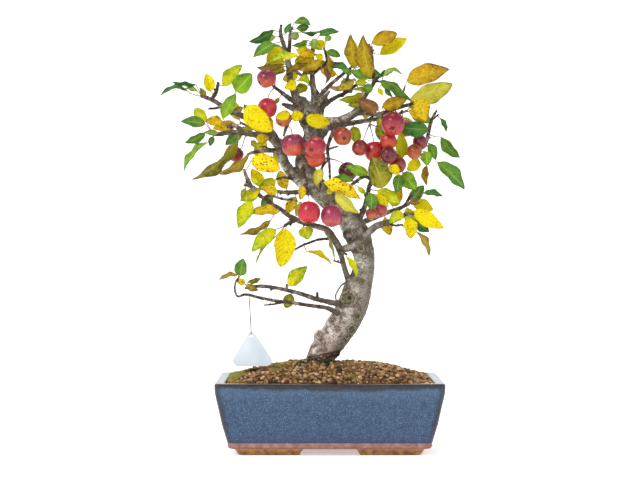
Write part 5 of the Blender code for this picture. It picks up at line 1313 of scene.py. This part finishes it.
# %% Hang the apples
APPLE_TONES = [
    ((168, 40, 40), (120, 24, 36)), ((150, 172, 70), (118, 150, 60)), ((212, 84, 40), (128, 26, 56)),
    ((220, 60, 56), (198, 32, 56)), ((216, 112, 40), (200, 62, 36)), ((222, 96, 58), (148, 36, 80)),
    ((200, 58, 56), (146, 20, 56)), ((222, 84, 50), (190, 52, 40)), ((216, 60, 44), (190, 36, 44)),
    ((180, 60, 40), (134, 30, 34)), ((214, 110, 50), (190, 60, 40)), ((150, 48, 60), (110, 24, 46)),
    ((200, 112, 50), (170, 74, 36)), ((140, 34, 40), (104, 20, 34)), ((176, 70, 44), (142, 40, 34)),
    ((220, 110, 90), (196, 64, 84)), ((214, 116, 60), (188, 78, 44)), ((206, 62, 62), (178, 34, 56)),
    ((226, 92, 50), (198, 52, 40)), ((206, 112, 50), (168, 58, 36)), ((150, 50, 34), (108, 30, 28)),
    ((206, 92, 96), (166, 44, 84)), ((220, 48, 60), (196, 26, 52)),
]
number = 0
for rows in SHOOTS.values():
    for x, z, radius, y, lean in rows.get("apples", []):
        draw = random.Random(number)
        ground_tone, blush_tone = APPLE_TONES[number]
        number += 1
        upright = Vector(lean).normalized().to_track_quat("Z", "Y").to_matrix().to_4x4()
        place = np.array(Matrix.Translation(seen(x, z, y)) @ upright)
        turn, centre = place[:3, :3].T, place[:3, 3]
        fruit = Skin()
        points, faces, skin_place = turned_apple(radius, draw)
        fruit.add(points @ turn + centre, faces, 0, skin_place=skin_place,
                  early=light_of(ground_tone, GROUND_LIGHT), late=light_of(blush_tone, BLUSH_LIGHT),
                  lit=np.stack([(points @ turn)[:, 2] / radius] * 3, -1))
        for tongue in range(SEPALS):
            points, faces = sepal(tongue / SEPALS * 2 * math.pi + draw.uniform(-0.2, 0.2), radius, draw)
            fruit.add(np.array(points) @ turn + centre, faces, 1)
        apple = fruit.piece(f"apple_{number:02d}_ripe", [apple_skin, dry_flower])
        dress(apple, "apple_skin", f"apple_{number:02d}")
print(number, "apples hung")

# %% [markdown]
# Bonsai grow in baked clay granules, sieved to a few millimetres and topped up to a mound. One bumpy surface
# would look like gravel on a photo at best, so each granule of the top layer is a small rounded lump of its
# own. They are scattered from large to small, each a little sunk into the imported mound, and they keep off
# the wood and the wall of the pot. The mound itself stays and shows only as dark gaps.

# %% Granules on the mound
GRANULE_SIZES = [(5.2, 150), (4.4, 700), (3.6, 1800), (2.9, 2400), (2.2, 2400)]
GRANULE_SHAPES = 10
WALL_INSIDE_X = 109.2
WALL_INSIDE_Y = 74.2
SUNK_SHARE = 0.12
CELL_SIDE = 6
CROWDING = 0.36
PIECES_OF_SOIL = 2
soil_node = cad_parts["soil"]
lay_of_land = BVHTree.FromObject(soil_node, bpy.context.evaluated_depsgraph_get())
bark_skin = BVHTree.FromObject(wood_piece, bpy.context.evaluated_depsgraph_get())


def ground_at(x, y):
    """The top of the mound at a place over the pot, in millimetres."""
    start = Vector((POT_X + x, POT_Y + y, 140)) * MM
    hit = lay_of_land.ray_cast(start, Vector((0, 0, -1)))[0]
    return None if hit is None else hit.z / MM


def off_the_wood(place, gap):
    spot, normal, _, distance = bark_skin.find_nearest(place * MM)
    return distance / MM > gap and (place * MM - spot).dot(normal) > 0


def lump_shape(draw):
    """A cube with rounded, uneven faces: points and faces of about one millimetre across."""
    bm = bmesh.new()
    bmesh.ops.create_cube(bm, size=1.0)
    bmesh.ops.subdivide_edges(bm, edges=bm.edges, cuts=1, use_grid_fill=True)
    stretch = Vector((draw.uniform(0.85, 1.1), draw.uniform(0.75, 1.0), draw.uniform(0.62, 0.88)))
    shift = Vector((draw.uniform(0, 50), 0, 0))
    points = []
    for vert in bm.verts:
        ball = vert.co.normalized() * 0.52
        spot = ball.lerp(vert.co * 0.78, 0.42)
        spot = spot * (1 + 0.35 * noise.noise(spot * 2.3 + shift))
        points.append([spot[axis] * stretch[axis] for axis in range(3)])
    faces = [[vert.index for vert in face.verts] for face in bm.faces]
    bm.free()
    return np.array(points), faces


draw = random.Random(12)
shapes = [lump_shape(draw) for _ in range(GRANULE_SHAPES)]
near = {}
heaps = [Skin() for _ in range(PIECES_OF_SOIL)]
laid = 0
for size, wanted in GRANULE_SIZES:
    for _ in range(wanted):
        x = draw.uniform(-1, 1) * (WALL_INSIDE_X - size * 0.62)
        y = draw.uniform(-1, 1) * (WALL_INSIDE_Y - size * 0.62)
        cell = (int(x // CELL_SIDE), int(y // CELL_SIDE))
        around = [spot for i in (-1, 0, 1) for j in (-1, 0, 1)
                  for spot in near.get((cell[0] + i, cell[1] + j), [])]
        if any(math.hypot(x - a, y - b) < (size + c) * CROWDING for a, b, c in around):
            continue
        z = ground_at(x, y)
        if z is None:
            continue
        place = Vector((POT_X + x, POT_Y + y, z + size * SUNK_SHARE))
        if not off_the_wood(place, size * 0.4):
            continue
        near.setdefault(cell, []).append((x, y, size))
        points, faces = shapes[draw.randrange(GRANULE_SHAPES)]
        turn = np.array(Matrix.Rotation(draw.uniform(0, 6.3), 3, "Z")
                        @ Matrix.Rotation(draw.uniform(-0.6, 0.6), 3, "X"))
        tone = (draw.random(), draw.random(), draw.random())
        heaps[laid % PIECES_OF_SOIL].add(points @ turn.T * size * 1.06 + np.array(place), faces, 0, tone=tone)
        laid += 1

granules = Finish("baked clay granules", Roughness=0.95, Specular_IOR_Level=0.2)
kind, shade, third = granules.parts(granules.painted("tone"))
spot = granules.place()
browns = granules.ramp(kind, (0.0, colour(58, 42, 28)), (0.18, colour(112, 80, 48)),
                       (0.48, colour(144, 106, 66)), (0.72, colour(170, 132, 86)),
                       (0.88, colour(216, 182, 134)), (1.0, colour(116, 86, 66)))
grain = granules.cloud(spot, 0.9, 4, 0.7)
shaded = granules.blend(granules.rise(grain, 0.56, 0.34) * 0.6, browns, colour(66, 44, 30))
dusty = granules.blend(granules.rise(granules.cloud(spot, 0.06, 3), 0.52, 0.70) * shade * 0.7, shaded,
                       colour(196, 166, 124))
granules.feed(Base_Color=dusty)
granules.feed(Roughness=0.84 + third * 0.12)
granules.relief(grain, 0.6, 0.8)
for index, heap in enumerate(heaps):
    grains = heap.piece(f"granules_{index + 1}", [granules])
    dress(grains, "clay_granules")

packed = Finish("packed mound", Roughness=0.95)
spot = packed.place()
packed.feed(Base_Color=packed.ramp(packed.cells(spot, 0.30), (0.10, colour(96, 68, 48)),
                                   (0.6, colour(40, 28, 22))))
packed.relief(packed.cells(spot, 0.30), 1.0, 0.8)
refinish(soil_node, packed)
print(laid, "granules laid")

# %% [markdown]
# Moss grows in low cushions where water stays: many tiny pointed shoots, yellow green where they dry out
# and nearly black where they are old. Each cushion is a handful of short three-sided spikes that lean
# outwards from its middle.

# %% Moss cushions
# Rows of x, y, half width, half depth, height and how old, 0 fresh and 1 black, measured on the mound.
MOSS = [(-100, -34, 9, 12, 5.0, 0.05), (-103, 10, 6, 10, 5.0, 0.15), (-82, -14, 9, 7, 4.2, 0.95),
        (-49, -12, 12, 8, 4.2, 0.1), (-58, -40, 6, 5, 2.6, 0.3), (-2, -20, 7, 4, 5.5, 0.95),
        (-29, -22, 8, 5, 4.4, 0.85), (60, 30, 9, 7, 2.8, 0.25), (-70, 45, 10, 7, 3.0, 0.3),
        (24, -58, 5, 4, 2.2, 0.4), (86, -52, 6, 4, 2.2, 0.3)]
SPIKES_PER_CUSHION = 700
SPIKE_RADIUS = 0.42
moss = Skin()
draw = random.Random(5)
for x, y, half_x, half_y, height, age in MOSS:
    for _ in range(SPIKES_PER_CUSHION):
        angle, out = draw.uniform(0, 6.3), math.sqrt(draw.random())
        edge = 1 + 0.25 * math.sin(angle * 3 + x)
        across, through = out * math.cos(angle) * edge, out * math.sin(angle) * edge
        base_x, base_y = x + across * half_x, y + through * half_y
        z = ground_at(base_x, base_y)
        if z is None:
            continue
        foot = np.array((POT_X + base_x, POT_Y + base_y, z - 0.3))
        if not off_the_wood(Vector(foot) + Vector((0, 0, 1)), 0.5):
            continue
        tall = height * (1 - 0.6 * out ** 2) * draw.uniform(0.7, 1.2)
        lean = np.array((across * 0.5 + draw.uniform(-0.3, 0.3),
                         through * 0.5 + draw.uniform(-0.3, 0.3), 1.0))
        tip = foot + lean * tall
        spin = draw.uniform(0, 6.3)
        ring = [foot + SPIKE_RADIUS * np.array((math.cos(spin + k * 2.094), math.sin(spin + k * 2.094), 0))
                for k in range(3)]
        tone = (min(1.0, age + draw.uniform(-0.15, 0.2)), draw.random(), 0)
        low = [(0, 0.0, 0)] * 3 + [(1, 1.0, 0)]
        moss.add(ring + [tip], [(0, 1, 3), (1, 2, 3), (2, 0, 3), (2, 1, 0)], 0, tone=tone, height=low)
moss_finish = Finish("moss", Roughness=0.95, Specular_IOR_Level=0.2)
age, shade, _ = moss_finish.parts(moss_finish.painted("tone"))
lift = moss_finish.parts(moss_finish.painted("height"))[0]
fresh = moss_finish.ramp(shade, (0.0, colour(160, 164, 54)), (0.5, colour(204, 200, 96)),
                         (1.0, colour(126, 140, 48)))
stale = moss_finish.blend(age, fresh, colour(38, 40, 26))
moss_finish.feed(Base_Color=moss_finish.blend(lift, colour(50, 48, 28), stale))
moss_finish.feed(Roughness=0.85 + shade * 0.1)
moss_piece = moss.piece("moss_cushions", [moss_finish])
dress(moss_piece, "clay_granules")
print("moss spikes:", moss.count // 4)

# %% [markdown]
# The pot is cast stoneware with slightly sloped walls, soft corners, a flat lip and two feet on each side.
# The glaze was poured on and stops a finger above the foot, where the pink body shows. It is built again
# as rings, now with round corners and a row of points every few millimetres, so the front of the rim can
# sag by a hair as it did in the kiln.

# %% Pot form
POT_HALF_X = 120.0
POT_HALF_Y = 85.0
CORNER_STEPS = 8
WALL_STEP = 8.0
RIM_SAG = 1.2
SAG_BELOW = 50.0
LIP_TOP = 76.5
# From the floor inside, over the lip and down to the foot: inset from the rim, height and corner radius.
POT_PROFILE = [(23.5, 15.0, 4), (21.0, 15.5, 5), (20.5, 17.0, 5), (15.5, 46.0, 5), (10.6, 74.4, 5),
               (10.2, 75.6, 5), (9.2, 76.3, 5), (8.4, LIP_TOP, 5), (2.4, LIP_TOP, 6), (1.2, 76.3, 6),
               (0.4, 75.7, 6), (0.0, 74.8, 6), (0.0, 72.5, 6), (0.4, 66.5, 6), (1.6, 60.0, 6),
               (3.2, 53.0, 6), (5.3, 43.0, 6), (7.4, 33.0, 6), (10.2, 23.0, 6), (12.6, 14.6, 6),
               (13.2, 13.5, 6), (13.1, 12.4, 6), (13.4, 9.6, 6), (14.6, 7.8, 6), (17.5, 7.0, 6),
               (19.5, 7.0, 6), (20.2, 6.4, 6), (24.0, 0.5, 6), (24.6, 0.0, 6), (32.4, 0.0, 3),
               (33.0, 0.5, 3), (33.0, 7.0, 3)]
ARCHES = [(28.0, 33.0, True), (22.0, 27.0, False)]
ARCH_TOP = 7.2
CUT_REACH = 200.0
DRAIN_X = 60.0
DRAIN_RADIUS = 9.0


def wall_ring(inset, z, radius):
    """A rounded rectangle with points along its sides, and the front of the rim a little low."""
    flat_x, flat_y = POT_HALF_X - inset - radius, POT_HALF_Y - inset - radius
    ring = []
    for quarter, (sx, sy) in enumerate([(1, 1), (-1, 1), (-1, -1), (1, -1)]):
        for step in range(CORNER_STEPS + 1):
            angle = math.pi / 2 * (quarter + step / CORNER_STEPS)
            ring.append((sx * flat_x + radius * math.cos(angle), sy * flat_y + radius * math.sin(angle)))
        start = ring[-1]
        along_x = quarter % 2 == 0
        flat = flat_x if along_x else flat_y
        count = int(2 * (POT_HALF_X if along_x else POT_HALF_Y) / WALL_STEP)
        for step in range(1, count):
            run = 2 * flat * step / count
            ring.append((start[0] - sx * run * along_x, start[1] - sy * run * (not along_x)))
    points = []
    for x, y in ring:
        front = max(0.0, -y / POT_HALF_Y) ** 8
        sag = RIM_SAG * math.cos(min(1.0, abs(x) / POT_HALF_X) * math.pi / 2) * front
        share = min(1.0, max(0.0, (z - SAG_BELOW) / (LIP_TOP - SAG_BELOW)))
        points.append((POT_X + x, POT_Y + y, z - sag * share))
    return points


def solid_from(rings):
    """A closed solid through rings of as many points each."""
    body = Skin()
    body.add([point for ring in rings for point in ring], tube_faces(len(rings), len(rings[0])), 0)
    return body


def face_outward(mesh):
    bm = bmesh.new()
    bm.from_mesh(mesh)
    bmesh.ops.recalc_face_normals(bm, faces=bm.faces)
    bm.to_mesh(mesh)
    bm.free()


def bite(target, cutter):
    cutter.hide_render = True
    cutter.hide_viewport = True
    cutting = target.modifiers.new("bite", "BOOLEAN")
    cutting.operation = "DIFFERENCE"
    cutting.solver = "EXACT"
    cutting.object = cutter


pot = solid_from([wall_ring(*row) for row in POT_PROFILE]).piece("glazed_pot", [])
cutters = []
for half_high, half_low, through_y in ARCHES:
    ends = []
    for run in (-CUT_REACH, CUT_REACH):
        section = [(-half_low, -2.0), (half_low, -2.0), (half_high + 0.6, ARCH_TOP - 1.2),
                   (half_high - 0.8, ARCH_TOP), (0.8 - half_high, ARCH_TOP),
                   (-half_high - 0.6, ARCH_TOP - 1.2)]
        ends.append([(POT_X + across, POT_Y + run, z) if through_y else (POT_X + run, POT_Y + across, z)
                     for across, z in section])
    cutters.append(solid_from(ends).piece("arch", []))
for side in (-1, 1):
    circle = [(math.cos(k * math.pi / 16), math.sin(k * math.pi / 16)) for k in range(32)]
    rings = [[(POT_X + side * DRAIN_X + a * DRAIN_RADIUS, POT_Y + b * DRAIN_RADIUS, z) for a, b in circle]
             for z in (0.0, 30.0)]
    cutters.append(solid_from(rings).piece("drain", []))
for form in (*cutters, pot):
    face_outward(form.data)
for cutter in cutters:
    bite(pot, cutter)
cast = baked(pot)
pot.modifiers.clear()
pot.data = cast
for cutter in cutters:
    bpy.data.objects.remove(cutter)
cast.shade_smooth()
cast.set_sharp_from_angle(angle=math.radians(50))
dress(pot, "glazed_stoneware", "pot")
print("pot has", triangles(pot), "triangles")

# %% [markdown]
# From the top down: the lip is pale where the glaze ran thin, a brown-black band hangs under it in a wavy
# line, the walls are blue with light and dark speckles, the corners are dark, the last finger is bare pink
# clay with pits, and the feet are amber. Height alone sets these bands, and noise makes their borders
# waver.

# %% Glaze and clay
glaze = Finish("speckled blue glaze", Specular_IOR_Level=0.35, Coat_Roughness=0.14)
spot = glaze.place()
x, y, z = glaze.parts(spot)
wobble = glaze.cloud(spot, 0.035, 3)
fine = glaze.cloud(spot, 0.9, 4, 0.65)
soft = glaze.cloud(spot, 0.16, 4, 0.6)
off_x, off_y = abs(x - POT_X), abs(y - POT_Y)
inset = glaze.math("MAXIMUM", (66.5 - z) * 0.22, 0.0)
to_corner = (POT_HALF_X + POT_HALF_Y) - inset * 2 - off_x - off_y
light = glaze.rise(glaze.cells(spot, 0.42), 0.34, 0.12)
small_light = glaze.rise(glaze.cells(spot, 0.80), 0.34, 0.12)
dark = glaze.rise(glaze.cells(glaze.join(x + 40.0, y, z), 0.7), 0.34, 0.14)
blue = glaze.ramp(soft, (0.32, colour(32, 54, 84)), (0.5, colour(40, 66, 98)), (0.66, colour(48, 76, 108)))
blue = glaze.blend(light * 0.45, blue, colour(92, 122, 150))
blue = glaze.blend(small_light * 0.75, blue, colour(104, 136, 164))
blue = glaze.blend(dark * 0.75, blue, colour(12, 22, 38))
blue = glaze.blend(glaze.rise(fine, 0.50, 0.38) * 0.7, blue, colour(16, 28, 46))
high = glaze.rise(z + wobble * 14, 62.0, 80.0)
blue = glaze.blend(high * 0.18, blue, colour(84, 118, 146))
blue = glaze.blend(glaze.rise(z, 26.0, 14.0) * 0.3, blue, colour(40, 50, 78))
corner = glaze.rise(to_corner + fine * 3.0 - 4.0, 7.0, 0.5) * glaze.rise(z, 10.0, 16.0)
blue = glaze.blend(corner * 0.85, blue, colour(22, 24, 34))
band_width = glaze.rise(off_x, 118.0, 30.0) * 2.6 + 2.6
band_low = 74.4 - band_width - (wobble - 0.5) * 7.0 - (soft - 0.5) * 8.0
band = glaze.rise(z - band_low + (fine - 0.5) * 6.0, -1.6, 1.6) * glaze.rise(z, 76.6, 76.0)
black = glaze.ramp(soft, (0.35, colour(16, 14, 18)), (0.65, colour(40, 32, 32)))
blue = glaze.blend(band * 0.95, blue, black)
lip = glaze.ramp(soft, (0.35, colour(96, 108, 122)), (0.65, colour(160, 170, 178)))
lip = glaze.blend(dark * 0.4, lip, colour(96, 104, 120))
glazed = glaze.blend(glaze.rise(z + (fine - 0.5) * 0.6, 76.0, 76.7), blue, lip)

clay = glaze.ramp(soft, (0.35, colour(120, 86, 78)), (0.55, colour(142, 105, 98)),
                  (0.72, colour(160, 126, 118)))
clay = glaze.blend(glaze.rise(z, 10.0, 7.6) * 0.6, clay, colour(132, 76, 50))
pits = glaze.rise(glaze.cells(spot, 0.22), 0.16, 0.06) * glaze.rise(off_x, 70.0, 100.0)
clay = glaze.blend(pits, clay, colour(44, 30, 26))
clay = glaze.blend(glaze.rise(fine, 0.42, 0.28) * 0.4, clay, colour(120, 76, 64))
amber = glaze.ramp(soft, (0.35, colour(92, 60, 24)), (0.65, colour(170, 116, 52)))
amber = glaze.blend(glaze.rise(z, 5.0, 6.8) * 0.5, amber, colour(190, 134, 86))
amber = glaze.blend(glaze.rise(z, 1.6, 0.2) * 0.6, amber, colour(80, 48, 26))
amber = glaze.blend(glaze.rise(fine, 0.42, 0.28) * 0.5, amber, colour(92, 58, 36))
foot = glaze.blend(glaze.rise(z, 7.1, 6.9), clay, amber)
border = 13.7 + (soft - 0.5) * 0.5
bare = glaze.rise(z - border, 0.12, -0.12)
inside = glaze.rise(off_x + inset, POT_HALF_X - 5.5, POT_HALF_X - 6.5)
inside = inside * glaze.rise(off_y + inset, POT_HALF_Y - 5.5, POT_HALF_Y - 6.5) * glaze.rise(z, 74.6, 74.0)
bare = glaze.math("MAXIMUM", bare, inside)
glazed = glaze.blend(glaze.rise(z - border, 1.6, 0.2) * 0.6, glazed, colour(30, 26, 36))
glaze.feed(Base_Color=glaze.blend(bare, glazed, foot))
bare_clay = bare * glaze.rise(z, 6.9, 7.1)
glaze.feed(Roughness=0.26 + bare_clay * 0.55 + fine * 0.12)
glaze.feed(Coat_Weight=0.22 - bare_clay * 0.22)
glaze.relief(fine * 0.25 + soft * 0.5 + bare_clay * fine * 0.6 - pits * 1.5, 0.5, 0.6)
refinish(pot, glaze)
print("glaze finish has", len(glaze.tree.nodes), "nodes")

# %% [markdown]
# A plant tag is punched from thin white plastic, and a loop of grey thread holds it to the lowest branch.
# The plate is an outline of three round corners with a hole, given thickness and a soft cut edge. The
# thread goes through the hole, up in front of the branch, over it and down behind, and its start and end
# meet behind the branch.

# %% Tag
TAG_CORNERS = [(-84, 121, 5, 25, 155), (-98, 95, 6, 160, 265), (-68, 95, 6, 275, 380)]
TAG_HOLE = (-84.5, 122.0, 1.6)
TAG_DEPTH = -34.0
TAG_THICKNESS = 0.8
TAG_EDGE = 0.14
outline = []
for x, z, radius, start, end in TAG_CORNERS:
    for step in range(15):
        angle = math.radians(start + (end - start) * step / 14)
        outline.append((x + radius * math.cos(angle), z + radius * math.sin(angle)))
hole_x, hole_z, hole_radius = TAG_HOLE
hole = []
for step in range(28):
    angle = -step * math.pi / 14
    hole.append((hole_x + hole_radius * math.cos(angle), hole_z + hole_radius * math.sin(angle)))
plate = bpy.data.curves.new("tag_plate", "CURVE")
plate.dimensions = "2D"
plate.fill_mode = "BOTH"
plate.extrude = (TAG_THICKNESS / 2 - TAG_EDGE) * MM
plate.bevel_depth = TAG_EDGE * MM
plate.bevel_resolution = 2
plate.offset = -TAG_EDGE * MM
for points in (outline, hole):
    spline = plate.splines.new("POLY")
    spline.points.add(len(points) - 1)
    spline.use_cyclic_u = True
    for knot, (x, z) in zip(spline.points, points):
        place = seen(x, z, TAG_DEPTH)
        knot.co = (place.x * MM, place.z * MM, 0, 1)
flat = show(bpy.data.objects.new("tag_plate", plate))
tag_mesh = baked(flat)
bpy.data.objects.remove(flat)
stand_up = Matrix.Rotation(math.pi / 2, 4, "X")
tag_mesh.transform(Matrix.Translation((0, (POT_Y + TAG_DEPTH) * MM, 0)) @ stand_up)
tag_mesh.shade_smooth()
tag_mesh.set_sharp_from_angle(angle=math.radians(40))
tag = show(bpy.data.objects.new("plant_tag", tag_mesh))
plastic = Finish("pale tag plastic", Coat_Roughness=0.2, Specular_IOR_Level=0.4)
spot = plastic.place()
haze = plastic.cloud(spot, 0.04, 3)
plastic.feed(Base_Color=plastic.ramp(haze, (0.35, colour(186, 196, 206)), (0.65, colour(200, 208, 215))))
plastic.feed(Roughness=0.34 + plastic.cloud(spot, 0.8, 2) * 0.12)
plastic.relief(haze, 0.4, 0.2)
tag_mesh.materials.append(plastic.material)
dress(tag, "tag_plastic", "tag")

THREAD_RADIUS = 0.4
THREAD_GAP = 0.3
BRANCH_RADIUS = 1.5
THREAD_OVER = (-86.5, 165.7, -34.2)
branch = nearest_on_stems(seen(*THREAD_OVER), [SHOOTS["shoot_low_lower"]["stems"][0]])
hole_place = seen(hole_x, hole_z, TAG_DEPTH)
reach = BRANCH_RADIUS + THREAD_GAP + THREAD_RADIUS
pinch = TAG_THICKNESS / 2 + THREAD_GAP + THREAD_RADIUS
knee = hole_place.z + hole_radius + 3.0
front, back = hole_place.y - pinch, hole_place.y + pinch
sag = hole_place.z + 0.1
between_x = (branch.x + hole_place.x) / 2
between_z = (branch.z + knee) / 2
route = [(branch.x, branch.y + reach, branch.z - 3.0), (between_x, (branch.y + reach + back) / 2, between_z),
         (hole_place.x, back, knee), (hole_place.x, back, sag + 1.2), (hole_place.x, back - 0.5, sag + 0.25),
         (hole_place.x, hole_place.y, sag), (hole_place.x, front + 0.5, sag + 0.25),
         (hole_place.x, front, sag + 1.2), (hole_place.x, front, knee),
         (between_x, (branch.y - reach + front) / 2, between_z),
         (branch.x, branch.y - reach, branch.z - 3.0)]
for angle in (180, 145, 110, 75, 40, 12):
    turn = math.radians(angle)
    route.append((branch.x, branch.y + reach * math.cos(turn), branch.z + reach * math.sin(turn)))
thread_line = smooth_line([(*spot, THREAD_RADIUS) for spot in route], 0.8)
points, faces, growth = stem(thread_line, 10, 5.0)
thread = Skin()
thread.add(points, faces, 0, growth=growth)
twine = Finish("grey twine", Roughness=0.9)
along, angle, _ = twine.parts(twine.painted("growth"))
twist = twine.math("SINE", along * 5.0 + angle * 2.0)
twine.feed(Base_Color=twine.ramp(twist * 0.5 + 0.5, (0.1, colour(52, 50, 50)), (0.9, colour(96, 94, 92))))
twine.feed(Roughness=0.85 + twist * 0.08)
twine.relief(twist, 0.12, 0.9)
string = thread.piece("tag_thread", [twine])
dress(string, "twine", "tag_string")

# %% [markdown]
# Below the soil nothing shows, but it is there: netting over the drain holes, held by a wire staple, and a
# layer of pumice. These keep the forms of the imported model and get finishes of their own. Only the staple
# is drawn again, because a square wire would be wrong even unseen.

# %% Hidden parts
STAPLE_LEG = 7.2
STAPLE_FOOT = 14.0
STAPLE_RADIUS = 0.5
STAPLE_TOP = 16.9
STAPLE_LOW = 6.2
wire = Finish("aluminium wire", Metallic=1.0)
scratches = wire.cloud(wire.place(), 1.5, 3)
wire.feed(Base_Color=wire.ramp(scratches, (0.3, colour(150, 152, 156)), (0.7, colour(190, 192, 196))))
wire.feed(Roughness=0.3 + scratches * 0.2)
for side, name in ((-1, "drain_wire_left"), (1, "drain_wire_right")):
    route = [(-STAPLE_FOOT, STAPLE_LOW), (-STAPLE_LEG - 1, STAPLE_LOW), (-STAPLE_LEG, STAPLE_LOW + 1),
             (-STAPLE_LEG, STAPLE_TOP - 1), (1 - STAPLE_LEG, STAPLE_TOP), (STAPLE_LEG - 1, STAPLE_TOP),
             (STAPLE_LEG, STAPLE_TOP - 1), (STAPLE_LEG, STAPLE_LOW + 1), (STAPLE_LEG + 1, STAPLE_LOW),
             (STAPLE_FOOT, STAPLE_LOW)]
    knots = [(POT_X + side * DRAIN_X + x, POT_Y, z, STAPLE_RADIUS) for x, z in route]
    bent = Skin()
    points, faces, _ = stem(knots, 10, 0.7)
    bent.add(points, faces, 0)
    staple = bent.piece(name + "_round", [wire])
    dress(staple, "wire", name)

netting = Finish("black netting", Specular_IOR_Level=0.3)
rub = netting.cloud(netting.place(), 0.8, 3)
netting.feed(Base_Color=netting.ramp(rub, (0.3, colour(20, 20, 20)), (0.7, colour(46, 46, 46))))
netting.feed(Roughness=0.45 + rub * 0.2)
pumice = Finish("pumice", Roughness=0.95)
spot = pumice.place()
lumps = pumice.cells(spot, 0.25)
pumice.feed(Base_Color=pumice.ramp(lumps, (0.1, colour(206, 198, 182)), (0.7, colour(112, 104, 92))))
pumice.relief(lumps, 1.5, 0.8)
for name, finish in (("drain_mesh_left", netting), ("drain_mesh_right", netting), ("drainage_layer", pumice)):
    refinish(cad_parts[name], finish)
print("hidden parts finished")

# %% [markdown]
# The finished tree has to stand in the same box as its solids, so the box of all that is dressed is
# measured and printed.

# %% Size
low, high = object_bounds()
print("box when dressed in mm:", [round(value / MM) for value in high - low])
